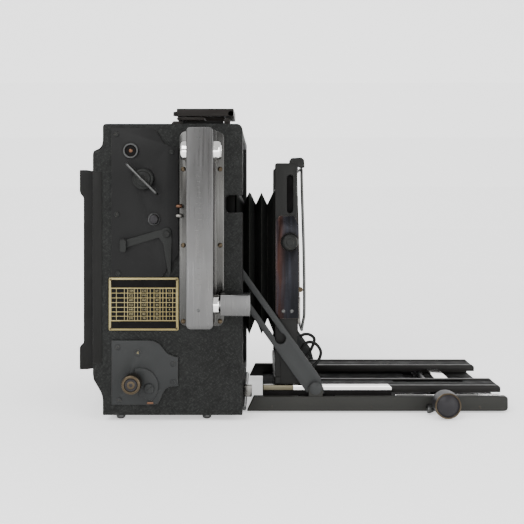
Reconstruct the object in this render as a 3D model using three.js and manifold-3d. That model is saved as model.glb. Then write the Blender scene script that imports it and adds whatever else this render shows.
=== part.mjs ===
// A folding 4x5 inch press camera with its bed open and its bellows run out.
// Units are millimetres. +X is the way the lens looks, +Z is up, and the operator's right is -Y.
// All pieces are placed from the plane of the body's front (X 0), its middle (Y 0) and its underside (Z 0);
// the finished group is then moved so that its box stands on Z 0, centred on the origin.

import * as THREE from 'three';
import { mergeVertices } from 'three/addons/utils/BufferGeometryUtils.js';
import Module from 'manifold-3d';

const wasm = await Module();
wasm.setup();

// ---- driving dimensions ----
const GAP = 0.3; // clearance between touching pieces
const BODY = { top: 201, back: -96.3, lip: -103.2, half: 90, wall: 22, floor: 9 };
const INNER = BODY.half - BODY.wall - GAP; // half the width between the side panels
const SKIN = -BODY.half - GAP; // where plates on the near side start
const PLATE = 1.5; // thickness of the plates on the near side
const GATE = { y: 60, bottom: 54, top: 148 }; // film gate
const FOOT = { r: 3.2, h: 4.4, y: 80, xs: [-85.3, -25.1] };
const BACK = { half: 77, bottom: 29, top: 169.6, rear: -115, glass: 64 };
const KEY = { x: -68, z: 162.8 };
const TENSION = { x: -74.5, z: 24.1, r: 6.6, out: -107 };
const BUTTON = { x: -60.7, z: 135.2, r: 3.1 };
const ROLLER = { x: -87, r: 5.5, bottom: 24, half: 58 };
const GEARS = { module: 1, key: 33, roller: 16 };
const FLANGE = { x0: -43.3, x1: -12.6, z0: 61.7, z1: 195.8 };
const COVER = { x0: -36.8, x1: -18.9, z0: 62.6, z1: 196.7, y: -114, wall: 1.8 };
const HOOD = { x0: -14, x1: 5.5, z0: 71, z1: 85.4, y0: -111.6, y1: -97.2, wall: 1.4 };
const FINDER = { y: -40, half: 22, bottom: 201.3, front: -9, bar: 3 };
const BED = { x0: 14, x1: 190, half: 66, bottom: -3, top: 0.3 };
const HINGE = { x: 0.8, z: -1.5, r: 1.5 };
const RAIL = { x0: 2.6, y0: 60.3, y1: 66, top: 7.5 };
const BAR = { x0: 14.4, x1: 107.5, y0: 55, y1: 59.5, top: 14.3 };
const TRACK = { outer: [49.5, 53.5], inner: [26, 30], bottom: 7.8, top: 12, x0: 24, x1: 188 };
const RACK = { z: 9.8, module: 0.8, x0: 112, x1: 164, y0: 30.3, y1: 36 };
const PINION = { x: 142.3, z: 5.8, teeth: 10, knob: 9.2 };
const BRACE = { x: 52, z: 13.2, studX: -3, studZ: 90.3, y0: 61, y1: 63, keyhole: 43.5, width: 14.4 };
const STANDARD = { x0: 22.9, x1: 38.9, y0: 53, y1: 58.5, foot: 15, top: 175.3 };
const LENS = { y: 52.4, z0: 44, z1: 158, x0: 24, x1: 36.4, hole: 20, centre: 101, seat: 40 };
const LOCK_KNOB = { x: 33.7, z: 118, r: 5.7 };
const FRAME_WIRE = { r: 1.1, y: 50, top: 171.7, bottom: 53.4, x: 42.6 };
const BELLOWS = { x0: -77.6, x1: 22.4, rear: [60, 46.6, 156.5], front: [51, 50, 154], wall: 5 };
const STRAP = { y: 93, bow: 16, width: 26, thick: 3.4, x: -52, z0: 40, z1: 160 };
const CABLE_RADIUS = 1.2;

// ---- materials ----
const finish = (color, roughness, metalness = 0) =>
  new THREE.MeshStandardMaterial({ color, roughness, metalness });
const leather = finish(0x363835, 0.7);
const blackPaint = finish(0x323231, 0.5, 0.3);
const greyPaint = finish(0x525354, 0.45, 0.3);
const satin = finish(0x8c8e90, 0.35, 0.9);
const chrome = finish(0xcbcbcb, 0.15, 1);
const steel = finish(0x6c6b6a, 0.4, 0.8);
const brass = finish(0x8a7650, 0.4, 0.8);
const wood = finish(0x474744, 0.6);
const cloth = finish(0x171916, 0.9);
const glass = finish(0xd8dcda, 0.25);
const rubber = finish(0x1c1c1c, 0.8);

// ---- solids ----
const camera = new THREE.Group();

function toSolid(geometry) {
  const bare = geometry.index ? geometry.toNonIndexed() : geometry.clone();
  bare.deleteAttribute('normal');
  bare.deleteAttribute('uv');
  const merged = mergeVertices(bare, 1e-4);
  return new wasm.Manifold(new wasm.Mesh({
    numProp: 3,
    vertProperties: new Float32Array(merged.attributes.position.array),
    triVerts: new Uint32Array(merged.index.array),
  }));
}

function toGeometry(solid) {
  const mesh = solid.getMesh();
  const geometry = new THREE.BufferGeometry();
  geometry.setAttribute('position', new THREE.BufferAttribute(mesh.vertProperties, 3));
  geometry.setIndex(new THREE.BufferAttribute(mesh.triVerts, 1));
  geometry.computeVertexNormals();
  return geometry;
}

const join = (first, ...rest) =>
  toGeometry(rest.reduce((sum, item) => sum.add(toSolid(item)), toSolid(first)));
const cut = (first, ...rest) =>
  toGeometry(rest.reduce((sum, item) => sum.subtract(toSolid(item)), toSolid(first)));

function piece(name, geometry, material) {
  const mesh = new THREE.Mesh(geometry, material);
  mesh.name = name;
  camera.add(mesh);
}

// ---- outlines and basic forms ----
function outline(points) {
  const shape = new THREE.Shape();
  points.forEach(([a, b], i) => (i ? shape.lineTo(a, b) : shape.moveTo(a, b)));
  shape.closePath();
  return shape;
}

function roundRect(a0, a1, b0, b1, r) {
  const shape = new THREE.Shape();
  shape.moveTo(a0 + r, b0);
  shape.lineTo(a1 - r, b0).quadraticCurveTo(a1, b0, a1, b0 + r);
  shape.lineTo(a1, b1 - r).quadraticCurveTo(a1, b1, a1 - r, b1);
  shape.lineTo(a0 + r, b1).quadraticCurveTo(a0, b1, a0, b1 - r);
  shape.lineTo(a0, b0 + r).quadraticCurveTo(a0, b0, a0 + r, b0);
  return shape;
}

function circle(a, b, r) {
  const shape = new THREE.Shape();
  shape.absarc(a, b, r, 0, Math.PI * 2, false);
  return shape;
}

const extrude = (shape, depth, segments) =>
  new THREE.ExtrudeGeometry(shape, { depth, bevelEnabled: false, curveSegments: segments });

// an outline drawn in X and Z, run from y0 to y1
const alongY = (shape, y0, y1, segments = 5) =>
  extrude(shape, y1 - y0, segments).rotateX(Math.PI / 2).translate(0, y1, 0);

// an outline drawn in Y and Z, run from x0 to x1
const toX = new THREE.Matrix4().makeBasis(
  new THREE.Vector3(0, 1, 0), new THREE.Vector3(0, 0, 1), new THREE.Vector3(1, 0, 0));
const alongX = (shape, x0, x1, segments = 5) =>
  extrude(shape, x1 - x0, segments).applyMatrix4(toX).translate(x0, 0, 0);

const box = (x0, x1, y0, y1, z0, z1) =>
  new THREE.BoxGeometry(x1 - x0, y1 - y0, z1 - z0)
    .translate((x0 + x1) / 2, (y0 + y1) / 2, (z0 + z1) / 2);

const rodY = (x, z, r, y0, y1, sides = 20) =>
  new THREE.CylinderGeometry(r, r, y1 - y0, sides).translate(x, (y0 + y1) / 2, z);
const rodX = (y, z, r, x0, x1, sides = 20) =>
  new THREE.CylinderGeometry(r, r, x1 - x0, sides).rotateZ(Math.PI / 2).translate((x0 + x1) / 2, y, z);
const rodZ = (x, y, r, z0, z1, sides = 20) =>
  new THREE.CylinderGeometry(r, r, z1 - z0, sides).rotateX(Math.PI / 2).translate(x, y, (z0 + z1) / 2);

// a tube of radius r along a smooth curve through the points
function tube(points, r, sides, steps, closed = false) {
  const path = new THREE.CatmullRomCurve3(points.map((p) => new THREE.Vector3(...p)), closed);
  const ring = new THREE.Shape();
  for (let i = 0; i < sides; i += 1) {
    const angle = (i / sides) * Math.PI * 2;
    ring[i ? 'lineTo' : 'moveTo'](r * Math.cos(angle), r * Math.sin(angle));
  }
  ring.closePath();
  return new THREE.ExtrudeGeometry(ring, { steps, extrudePath: path, bevelEnabled: false });
}

// a spur gear or pinion on the Y axis, with slim teeth that leave backlash
function gear(teeth, module, y0, y1, x, z, phase = 0) {
  const pitch = (teeth * module) / 2;
  const step = (Math.PI * 2) / teeth;
  const points = [];
  for (let i = 0; i < teeth; i += 1) {
    const middle = i * step + phase;
    for (const [r, t] of [[-1.1, -0.27], [0.75, -0.11], [0.75, 0.11], [-1.1, 0.27]]) {
      const angle = middle + t * step;
      points.push([x + (pitch + r * module) * Math.cos(angle), z + (pitch + r * module) * Math.sin(angle)]);
    }
  }
  return alongY(outline(points), y0, y1);
}

const mirrored = [['right', -1], ['left', 1]];
// the span from a to b on one side of the camera, lowest first
const span = (side, a, b) => (side < 0 ? [-b, -a] : [a, b]);

// ---- body ----
function bodyOutline() {
  const shape = new THREE.Shape();
  shape.moveTo(0, 0);
  shape.lineTo(0, BODY.top - 4).quadraticCurveTo(0, BODY.top, -4, BODY.top);
  shape.lineTo(BODY.back + 2, BODY.top).quadraticCurveTo(BODY.back, BODY.top, BODY.back, BODY.top - 2);
  shape.lineTo(BODY.back, 189).quadraticCurveTo(-97, 184, -101, 183);
  shape.quadraticCurveTo(BODY.lip, 182.5, BODY.lip, 180);
  shape.lineTo(BODY.lip, 28.3).quadraticCurveTo(BODY.lip, 24, -100.4, 20.7);
  shape.quadraticCurveTo(BODY.back, 15, BODY.back, 10.4);
  shape.lineTo(BODY.back, 0);
  return shape;
}

function sidePanel(name, side) {
  const [y0, y1] = span(side, INNER + GAP, BODY.half);
  const stud = rodY(BRACE.studX, BRACE.studZ, 2, ...span(side, BRACE.y0 - 1.6, INNER + 2), 12);
  const head = rodY(BRACE.studX, BRACE.studZ, 3.2, ...span(side, BRACE.y0 - 3, BRACE.y0 - 1.5), 12);
  const tools = [];
  if (side < 0) {
    const notch = roundRect(-12, 8, 139.4, 151.8, 3);
    tools.push(alongY(notch, y0 - 1, y1 + 1));
    tools.push(rodY(KEY.x, KEY.z, 3.6, y0 - 1, y1 + 1, 16));
    tools.push(rodY(TENSION.x, TENSION.z, 3.3, y0 - 1, y0 + 12, 12));
    tools.push(rodY(BUTTON.x, BUTTON.z, 2.4, y0 - 1, y0 + 12, 12));
  }
  const panel = cut(alongY(bodyOutline(), y0, y1), ...tools);
  piece(name, join(panel, stud, head), leather);
}

function bodyBox() {
  for (const [name, side] of mirrored) sidePanel(`side_panel_${name}`, side);
  const front = outline([[0, 192], [0, 197], [-1.2, 199.8], [-4, BODY.top], [-94.3, BODY.top], [-95.8, 199],
    [-95.8, 192]]);
  piece('top_panel', alongY(front, -INNER, INNER), leather);
  const bush = rodZ(-48, 0, 9.3, -1, BODY.floor + 1, 24);
  piece('bottom_panel', cut(box(-95.8, 0, -INNER, INNER, 0, BODY.floor), bush), wood);
  const socket = cut(rodZ(-48, 0, 9, 0, BODY.floor, 24), rodZ(-48, 0, 3.1, -1, 7, 16));
  piece('tripod_bush', socket, steel);
  let count = 1;
  for (const x of FOOT.xs) {
    for (const y of [-FOOT.y, FOOT.y]) {
      const dome = [[0, -FOOT.h], [FOOT.r * 0.7, -FOOT.h], [FOOT.r, 1.2 - FOOT.h], [FOOT.r, -GAP],
        [0, -GAP]];
      const profile = dome.map(([r, z]) => new THREE.Vector2(r, z));
      const lathe = new THREE.LatheGeometry(profile, 16).rotateX(Math.PI / 2);
      piece(`foot_${count}`, lathe.translate(x, y, 0), steel);
      count += 1;
    }
  }
}

// ---- focal-plane shutter ----
function shutter() {
  const rear = outline([[-92, 9.3], [-96, 10.4], [-100.2, 20.9], [-102.9, 28.3], [-102.9, 180],
    [-100.6, 182.6], [-96.6, 185], [-95.6, 189], [-95.4, 191.7], [-91, 191.7], [-94.2, 185.4],
    [-97.4, 181.5], [-97.4, 22]]);
  const gate = box(-104, -90, -GATE.y, GATE.y, GATE.bottom, GATE.top);
  piece('shutter_frame', cut(alongY(rear, -INNER + GAP, INNER - GAP), gate), steel);
  const front = box(-80, -78, -61.5, 61.5, BODY.floor + GAP, 192 - GAP);
  piece('shutter_front_plate', cut(front, box(-81, -77, -58, 58, 52, 150)), steel);
  const curtain = box(-93.4, -93, -56, 56, 24, 178);
  piece('shutter_curtain', cut(curtain, box(-94, -92, -54, 54, 57, 145)), rubber);
  const meshed = Math.sqrt(((GEARS.key + GEARS.roller) / 2) ** 2 - (ROLLER.x - KEY.x) ** 2);
  const top = KEY.z + meshed;
  const drum = rodY(ROLLER.x, top, ROLLER.r, -ROLLER.half, ROLLER.half, 20);
  const arbor = rodY(ROLLER.x, top, 1.6, -67, 64, 12);
  const angle = Math.atan2(top - KEY.z, ROLLER.x - KEY.x);
  const wheel = gear(GEARS.roller, 1, -66.5, -62.5, ROLLER.x, top, angle + Math.PI + Math.PI / GEARS.roller);
  piece('curtain_roller_upper', join(drum, arbor, wheel), steel);
  const lower = rodY(ROLLER.x, ROLLER.bottom, ROLLER.r, -ROLLER.half, ROLLER.half, 20);
  const lowerArbor = rodY(ROLLER.x, ROLLER.bottom, 1.6, -64, 64, 12);
  piece('curtain_roller_lower', join(lower, lowerArbor), steel);
  const disc = rodY(KEY.x, KEY.z, 7.2, -96.4, -92.2, 28);
  const shaft = rodY(KEY.x, KEY.z, 3, -93, -62.5, 16);
  const wing = new THREE.BoxGeometry(31, 8, 1.6).translate(0, -100, 0).rotateY(Math.PI / 4)
    .translate(KEY.x, 0, KEY.z);
  const drive = gear(GEARS.key, 1, -66.5, -62.5, KEY.x, KEY.z, angle);
  piece('winding_key', join(disc, shaft, wing, drive), steel);
}

function nearSidePlates() {
  const y0 = SKIN - PLATE;
  const upper = new THREE.Shape();
  upper.moveTo(-90, 95.2);
  upper.lineTo(-57, 95.2).quadraticCurveTo(-52.5, 96, -50, 104);
  upper.lineTo(-44, 110);
  upper.lineTo(-44, 184.7).quadraticCurveTo(-54, 184.9, -56.4, 191);
  upper.quadraticCurveTo(-58.8, 197.4, -62.2, 198);
  upper.lineTo(-90, 198);
  const plate = cut(alongY(upper, y0, SKIN, 4), rodY(KEY.x, KEY.z, 3.6, y0 - 1, SKIN + 1, 16),
    rodY(BUTTON.x, BUTTON.z, 3.5, y0 - 1, SKIN + 1, 12));
  const window = rodY(-76.6, 182.2, 5.3, y0 - 2, y0 + 0.5, 20);
  const hole = rodY(-76.6, 182.2, 3.9, y0 - 3, y0 - 0.6, 20);
  piece('upper_shutter_plate', cut(join(plate, window), hole), blackPaint);
  piece('speed_table', box(-91.8, -43.9, y0, SKIN, 58.7, 94.9), brass);
  const lower = new THREE.Shape();
  lower.moveTo(-90, 7.6);
  lower.lineTo(-60.5, 7.6).quadraticCurveTo(-57.2, 7.8, -55.6, 13.6);
  lower.quadraticCurveTo(-53.8, 19.8, -44.2, 20.4);
  lower.lineTo(-44.2, 40).quadraticCurveTo(-50, 41, -54, 46).quadraticCurveTo(-58, 51.8, -66, 51.8);
  lower.lineTo(-90, 51.8);
  piece('tension_plate', cut(alongY(lower, y0, SKIN, 4),
    rodY(TENSION.x, TENSION.z, 3.6, y0 - 1, SKIN + 1, 16)), greyPaint);
}

function shutterControls() {
  const y0 = SKIN - PLATE - GAP;
  const cap = rodY(BUTTON.x, BUTTON.z, BUTTON.r, y0 - 3.4, y0 - 1.6, 16);
  const stem = rodY(BUTTON.x, BUTTON.z, 1.8, y0 - 2, -80, 12);
  piece('shutter_button', join(cap, stem), blackPaint);
  const lever = outline([[-83.4, 119.2], [-54, 128.2], [-49.4, 128.2], [-48.2, 122], [-49.2, 97], [-51, 97],
    [-54.6, 119], [-56.8, 122.6], [-79.6, 115.6], [-83, 114.2]]);
  piece('release_lever', alongY(lever, y0 - 1.6, y0), steel);
  const grip = rodY(TENSION.x, TENSION.z, TENSION.r, TENSION.out, -97.4, 24);
  const collar = rodY(TENSION.x, TENSION.z, 4.6, -97.6, -95.2, 20);
  const shaft = rodY(TENSION.x, TENSION.z, 2.6, -96, -79, 12);
  piece('tension_knob', join(grip, collar, shaft), steel);
  const disc = new THREE.Shape();
  disc.absarc(-70, 20.7, 12.4, -0.9, 1.75, false);
  disc.lineTo(-72.2, 34.4);
  disc.lineTo(-74.4, 28.4);
  disc.lineTo(-70, 14);
  const arm = cut(alongY(disc, y0 - 1.4, y0, 10), rodY(TENSION.x, TENSION.z, 5.2, y0 - 3, y0 + 1, 20));
  piece('tension_release_lever', arm, steel);
}

// ---- rangefinder ----
function rangefinder() {
  const y0 = SKIN - PLATE;
  const flange = alongY(roundRect(FLANGE.x0, FLANGE.x1, FLANGE.z0, FLANGE.z1, 5), y0, SKIN);
  piece('rangefinder_flange', flange, satin);
  const top = y0 - GAP;
  const shell = alongY(roundRect(COVER.x0, COVER.x1, COVER.z0, COVER.z1, 3), COVER.y, top);
  const inner = roundRect(COVER.x0 + COVER.wall, COVER.x1 - COVER.wall, COVER.z0 + 2, COVER.z1 - 2, 1.5);
  const hollow = alongY(inner, COVER.y + 2.4, top + 1);
  const rings = [
    rodX(-103, 181.7, 6.5, -41.3, COVER.x0 + 1, 24),
    rodX(-103, 181.7, 6.5, COVER.x1 - 1, -14.1, 24),
  ];
  const bores = [
    rodX(-103, 181.7, 4.6, -42, COVER.x1 + 8, 20),
    rodX(-104.4, 78.2, 4.2, COVER.x1 - 3, -10, 20),
  ];
  piece('rangefinder_cover', cut(join(cut(shell, hollow), ...rings), ...bores), satin);
  const tunnel = alongX(roundRect(HOOD.y0, HOOD.y1, HOOD.z0, HOOD.z1, 2), HOOD.x0 - 4.6, HOOD.x1);
  const inside = alongX(roundRect(HOOD.y0 + HOOD.wall, HOOD.y1 - HOOD.wall, HOOD.z0 + HOOD.wall,
    HOOD.z1 - HOOD.wall, 1), HOOD.x0 - 6, HOOD.x1 + 1);
  piece('rangefinder_hood', cut(tunnel, inside), satin);
  const mirror = new THREE.BoxGeometry(11, 12, 1.4).rotateY(-Math.PI / 4).translate(-28, -103, 181.7);
  piece('rangefinder_mirror', mirror, glass);
  const lower = new THREE.BoxGeometry(11, 12, 1.4).rotateY(Math.PI / 4).translate(-28, -103, 78.2);
  piece('rangefinder_swing_mirror', lower, glass);
}

// ---- folding finder on the top ----
function finder() {
  const { y, half, bottom, front, bar } = FINDER;
  const base = box(-51.7, -9.4, y - half, y + half, bottom, bottom + 2);
  const wings = [-1, 1].flatMap((side) => {
    const at = y + side * (half - 1.2);
    return [
      box(-14, -9.4, at - 1.2, at + 1.2, bottom + 1, bottom + 6.2),
      box(-51.7, -44, at - 1.2, at + 1.2, bottom + 1, bottom + 4.2),
    ];
  });
  piece('finder_base', join(base, ...wings), blackPaint);
  const frontLoop = cut(box(-48, front + 2, y - half, y + half, 209, 214.4),
    box(-43.6, front - 5, y - half + 4, y + half - 4, 208, 213),
    box(-41, front - 7, y - half + 6, y + half - 6, 200, 220));
  const knuckles = rodY(front, 210.8, 2, y - half, y + half, 12);
  piece('finder_front_frame', join(frontLoop, knuckles), blackPaint);
  const rearLoop = cut(box(-46, -28, y - half, y + half, 205.9, 208.2),
    box(-46 + bar, -28 - bar, y - half + bar, y + half - bar, 205, 209));
  piece('finder_rear_frame', join(rearLoop, rodY(-46.6, 207.1, 1.3, y - half, y + half, 10)), blackPaint);
}

// ---- focusing back ----
function focusingBack() {
  const frame = outline([[-103.5, BACK.bottom + 1], [-103.5, BACK.top - 1], [-110, BACK.top],
    [BACK.rear, BACK.top], [BACK.rear, 155], [-112, 150], [-112, 48], [BACK.rear, 44],
    [BACK.rear, BACK.bottom], [-110, BACK.bottom]]);
  const window = box(-120, -100, -BACK.glass + 2, BACK.glass - 2, 50, 148);
  const hingeSeat = box(-120, -109.7, -41, 41, 144, 151);
  const seat = box(-108, -102, -BACK.glass - 1, BACK.glass + 1, 48.5, 149.5);
  const undercuts = mirrored.flatMap(([, side]) => [[20, 46], [154, 180]].map(([z0, z1]) =>
    box(-109.8, -100, ...span(side, BACK.half - 8, BACK.half + 1), z0, z1)));
  const solid = alongY(frame, -BACK.half, BACK.half);
  piece('back_frame', cut(solid, window, seat, hingeSeat, ...undercuts), leather);
  piece('ground_glass', box(-107.7, -105.7, -BACK.glass, BACK.glass, 49.5, 148.5), glass);
  const door = box(-111.6, -108.6, -61.5, 61.5, 50.6, 147.4);
  const hinge = rodY(-113.2, 148.2, 1.3, -40, 40, 12);
  piece('hood_door', join(door, hinge, box(-113.4, -110.6, -40, 40, 146, 148.6)), steel);
}

// ---- hand strap on the far side ----
function handStrap() {
  const points = [];
  const steps = 14;
  for (let i = 0; i <= steps; i += 1) {
    const t = i / steps;
    points.push([STRAP.y + STRAP.bow * Math.sin(Math.PI * t) ** 0.7, STRAP.z0 + (STRAP.z1 - STRAP.z0) * t]);
  }
  const back = points.map(([a, b]) => [a + STRAP.thick, b]).reverse();
  const band = outline([...points, ...back]);
  const half = STRAP.width / 2;
  piece('hand_strap', alongX(band, STRAP.x - half, STRAP.x + half), leather);
  const name = ['lower', 'upper'];
  [STRAP.z0, STRAP.z1].forEach((z, i) => {
    const out = i ? 1 : -1;
    const z0 = Math.min(z + out * GAP, z + out * 12);
    const z1 = Math.max(z + out * GAP, z + out * 12);
    const anchor = box(STRAP.x - half - 1, STRAP.x + half + 1, BODY.half + GAP, 96.6, z0, z1);
    piece(`strap_anchor_${name[i]}`, anchor, steel);
  });
}

// ---- drop bed ----
function bed() {
  piece('bed_hinge_rod', rodY(HINGE.x, HINGE.z, HINGE.r, -64, 64, 12), steel);
  const board = box(BED.x0, BED.x1, -BED.half + 6, BED.half - 6, BED.bottom, BED.top);
  piece('bed_panel', cut(board, box(PINION.x - 9, PINION.x + 9, -70, 70, -0.4, 1)), wood);
  for (const [name, side] of mirrored) {
    const [y0, y1] = span(side, RAIL.y0, RAIL.y1);
    const nose = new THREE.Shape();
    nose.moveTo(RAIL.x0, BED.bottom);
    nose.lineTo(BED.x1 - 4, BED.bottom).quadraticCurveTo(BED.x1, BED.bottom, BED.x1, BED.bottom + 4);
    nose.lineTo(BED.x1, RAIL.top - 3).quadraticCurveTo(BED.x1, RAIL.top, BED.x1 - 3, RAIL.top);
    nose.lineTo(RAIL.x0 + 5, RAIL.top);
    const pivot = rodY(BRACE.x, BRACE.z, 2.2, ...span(side, BRACE.y0 - 0.8, RAIL.y1 - 1), 12);
    const post = box(BRACE.x - 5, BRACE.x + 5, ...span(side, BRACE.y1 + 0.4, RAIL.y1 - 0.4),
      RAIL.top - 2, BRACE.z + 4);
    const axle = rodY(PINION.x, PINION.z, 2.2, y0 - 1, y1 + 1, 12);
    const relief = box(BRACE.x - 12, BRACE.x + 14, ...span(side, RAIL.y0 - 1, BRACE.y1 + 0.4),
      4.6, RAIL.top + 1);
    const rail = cut(alongY(nose, y0, y1, 4), relief, axle);
    piece(`bed_rail_${name}`, join(rail, pivot, post), wood);
  }
  const bar = outline([[-BAR.y1, 0.6], [-BAR.y0 - 1, 0.6], [-BAR.y0 - 1, 10.4], [-BAR.y0, 10.4],
    [-BAR.y0, BAR.top], [-BAR.y1, BAR.top]]);
  piece('bed_bar', alongX(bar, BAR.x0, BAR.x1), chrome);
  piece('body_bar_end', box(GAP, 6.2, -BAR.y1, -BAR.y0, 5.8, BAR.top), chrome);
  const lever = join(rodY(133, 0, 2.2, -72, -66.4, 14), box(130.4, 135.6, -73, -71, -3, 1.4));
  piece('track_lock_lever', lever, steel);
}

// ---- focusing track with its racks, and the pinion that drives it ----
function track() {
  for (const [name, side] of mirrored) {
    const pitch = Math.PI * RACK.module;
    const teeth = [];
    for (let x = RACK.x0; x < RACK.x1 - pitch / 2; x += pitch) {
      const at = PINION.x + Math.round((x - PINION.x) / pitch) * pitch + pitch / 2;
      teeth.push([at - 0.27 * pitch, RACK.z + 0.88], [at - 0.11 * pitch, RACK.z - 0.6],
        [at + 0.11 * pitch, RACK.z - 0.6], [at + 0.27 * pitch, RACK.z + 0.88]);
    }
    const last = teeth[teeth.length - 1][0] + 1;
    const strip = alongY(outline([[teeth[0][0] - 1, 12], [teeth[0][0] - 1, RACK.z + 0.88], ...teeth,
      [last, RACK.z + 0.88], [last, 12]]), ...span(side, RACK.y0 - 0.5, RACK.y1));
    const slab = box(TRACK.x0, TRACK.x1, ...span(side, TRACK.inner[0], TRACK.outer[1]), 10.8, TRACK.top);
    const rails = [TRACK.outer, TRACK.inner].map(([a, b]) =>
      box(TRACK.x0, TRACK.x1, ...span(side, a, b), TRACK.bottom, TRACK.top + 0.8));
    piece(`track_rail_${name}`, join(slab, ...rails, strip), steel);
  }
  const reach = TRACK.inner[0] - GAP;
  piece('track_front_bar', box(148, 158.5, -reach, reach, TRACK.bottom, 10.4), chrome);
  piece('track_rear_bar', box(30, 44, -reach, reach, TRACK.bottom, 10.4), steel);
  const pinions = mirrored.map(([, side]) => {
    const [y0, y1] = span(side, RACK.y0 + 0.6, RACK.y1 - 0.4);
    return gear(PINION.teeth, RACK.module, y0, y1, PINION.x, PINION.z, Math.PI / 2);
  });
  const shaft = rodY(PINION.x, PINION.z, 1.6, -72, RAIL.y1 - GAP, 12);
  piece('pinion_shaft', join(shaft, ...pinions), steel);
  const grip = rodY(PINION.x, PINION.z, PINION.knob, -90, -76, 32);
  const collar = rodY(PINION.x, PINION.z, 5, -77, -72.3, 16);
  piece('focus_knob', join(grip, collar), blackPaint);
}

// ---- slotted side braces ----
function braces() {
  const length = Math.hypot(BRACE.studX - BRACE.x, BRACE.studZ - BRACE.z);
  const angle = Math.atan2(BRACE.studZ - BRACE.z, BRACE.studX - BRACE.x);
  for (const [name, side] of mirrored) {
    const half = BRACE.width / 2;
    const end = length + 8.5;
    const plate = new THREE.Shape();
    plate.moveTo(3.8, -half);
    plate.lineTo(end - 4, -half).quadraticCurveTo(end, -half, end, -half + 4);
    plate.lineTo(end, half - 4).quadraticCurveTo(end, half, end - 4, half);
    plate.lineTo(1.1, half);
    plate.lineTo(-7.3, -2.8);
    const bar = alongY(plate, 0, BRACE.y1 - BRACE.y0);
    const slot = alongY(roundRect(BRACE.keyhole - 2, length + 4.4, -2.9, 2.9, 2.8), -1, 4);
    const eye = rodY(BRACE.keyhole, 0, 4, -1, 4, 16);
    const pivot = rodY(0, 0, 2.7, -1, 4, 14);
    const link = cut(bar, slot, eye, pivot).rotateY(-angle);
    const y = side < 0 ? -BRACE.y1 : BRACE.y0;
    piece(`brace_${name}`, link.translate(BRACE.x, y, BRACE.z), steel);
  }
}

// ---- front standard ----
function frontStandard() {
  const { x0, x1, y0, y1, foot, top } = STANDARD;
  const uprights = mirrored.flatMap(([, side]) => [
    alongY(roundRect(x0, x1, foot, top, 3), ...span(side, y0, y1)),
    box(x0 + 0.3, x1 + 1.3, ...span(side, y1 - 0.5, y1 + 1.8), 62.5, 136.9),
    box(26.6, 41, ...span(side, y0 - 6, y1), foot, 36),
  ]);
  const base = box(22, 46, -y1, y1, foot, foot + 5);
  const hooks = mirrored.map(([, side]) => box(33, 46, ...span(side, y0, y1), 171.7, 179.7));
  const slots = [box(31.6, 36, -70, 70, 139, 166.6)];
  const locks = [rodY(LOCK_KNOB.x, LOCK_KNOB.z, 2.2, -70, 70, 12)];
  piece('standard_frame', cut(join(base, ...uprights, ...hooks), ...slots, ...locks), blackPaint);
  const panel = box(LENS.x0, LENS.x1, -LENS.y, LENS.y, LENS.z0, LENS.z1);
  const opening = box(LENS.x0 - 1, LENS.x1 + 1, -44, 44, LENS.centre - 44, LENS.centre + 44);
  piece('lens_panel', cut(panel, opening), blackPaint);
  const board = alongX(roundRect(-51, 51, LENS.centre - 51, LENS.centre + 51, 3), LENS.x1 + GAP, LENS.seat);
  const eye = rodX(0, LENS.centre, LENS.hole, LENS.x1 - 1, LENS.seat + 1, 32);
  piece('lens_board', cut(board, eye), blackPaint);
  for (const [name, side] of mirrored) {
    const [a, b] = span(side, 60.8, 66);
    piece(`lock_knob_${name}`, join(rodY(LOCK_KNOB.x, LOCK_KNOB.z, LOCK_KNOB.r, a, b, 24),
      rodY(LOCK_KNOB.x, LOCK_KNOB.z, 1.8, ...span(side, 53.4, 61), 12)), steel);
  }
  const { r, y, top: high, bottom: low, x } = FRAME_WIRE;
  const corner = 5;
  const path = [[x, -y, low], [x + 2, -y, low + 15], [x, -y, high - corner], [x, -y + corner, high],
    [x, 0, high], [x, y - corner, high], [x, y, high - corner], [x + 2, y, low + 15], [x, y, low]];
  const wire = tube(path, r, 8, 56);
  const pivots = rodY(x, low, 1.3, -y - 1.5, y + 1.5, 10);
  piece('wire_frame_finder', join(wire, pivots), steel);
  const loopCable = [[41.8, -45, 47.2], [44.6, -44, 48.8], [49, -43, 48.4], [52.4, -43, 45],
    [50.4, -43, 38.5], [47.2, -43, 33.4], [44.6, -44, 31.4], [42.6, -46, 33.6], [43, -47, 39.2],
    [47.4, -47, 43.4], [53.2, -47, 42.2], [56.9, -47, 36.4], [55, -47, 29.8], [50, -48, 25.2],
    [45.4, -49, 23], [41.6, -50, 22.4]];
  piece('release_cable', tube(loopCable, CABLE_RADIUS, 8, 48), rubber);
}

function bellows() {
  const ring = (fraction, inset) => {
    const at = (a, b) => a + (b - a) * fraction;
    return [at(BELLOWS.rear[0], BELLOWS.front[0]) - inset, at(BELLOWS.rear[1], BELLOWS.front[1]) + inset,
      at(BELLOWS.rear[2], BELLOWS.front[2]) - inset];
  };
  const block = (grow, inset) => {
    const [y0, a0, b0] = ring(0, inset);
    const [y1, a1, b1] = ring(1, inset);
    const geometry = new THREE.BoxGeometry(1, 1, 1);
    const position = geometry.attributes.position;
    for (let i = 0; i < position.count; i += 1) {
      const front = position.getX(i) > 0;
      const [y, low, high] = front ? [y1, a1, b1] : [y0, a0, b0];
      position.setXYZ(i, front ? BELLOWS.x1 + grow : BELLOWS.x0 - grow,
        position.getY(i) > 0 ? y : -y, position.getZ(i) > 0 ? high : low);
    }
    return geometry;
  };
  piece('bellows', cut(block(0, 0), block(1, BELLOWS.wall)), cloth);
}

bodyBox();
shutter();
nearSidePlates();
shutterControls();
rangefinder();
finder();
focusingBack();
handStrap();
bed();
track();
braces();
frontStandard();
bellows();

const extent = new THREE.Box3().setFromObject(camera);
camera.position.set(-(extent.min.x + extent.max.x) / 2, -(extent.min.y + extent.max.y) / 2, -extent.min.z);

export default camera;
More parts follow.
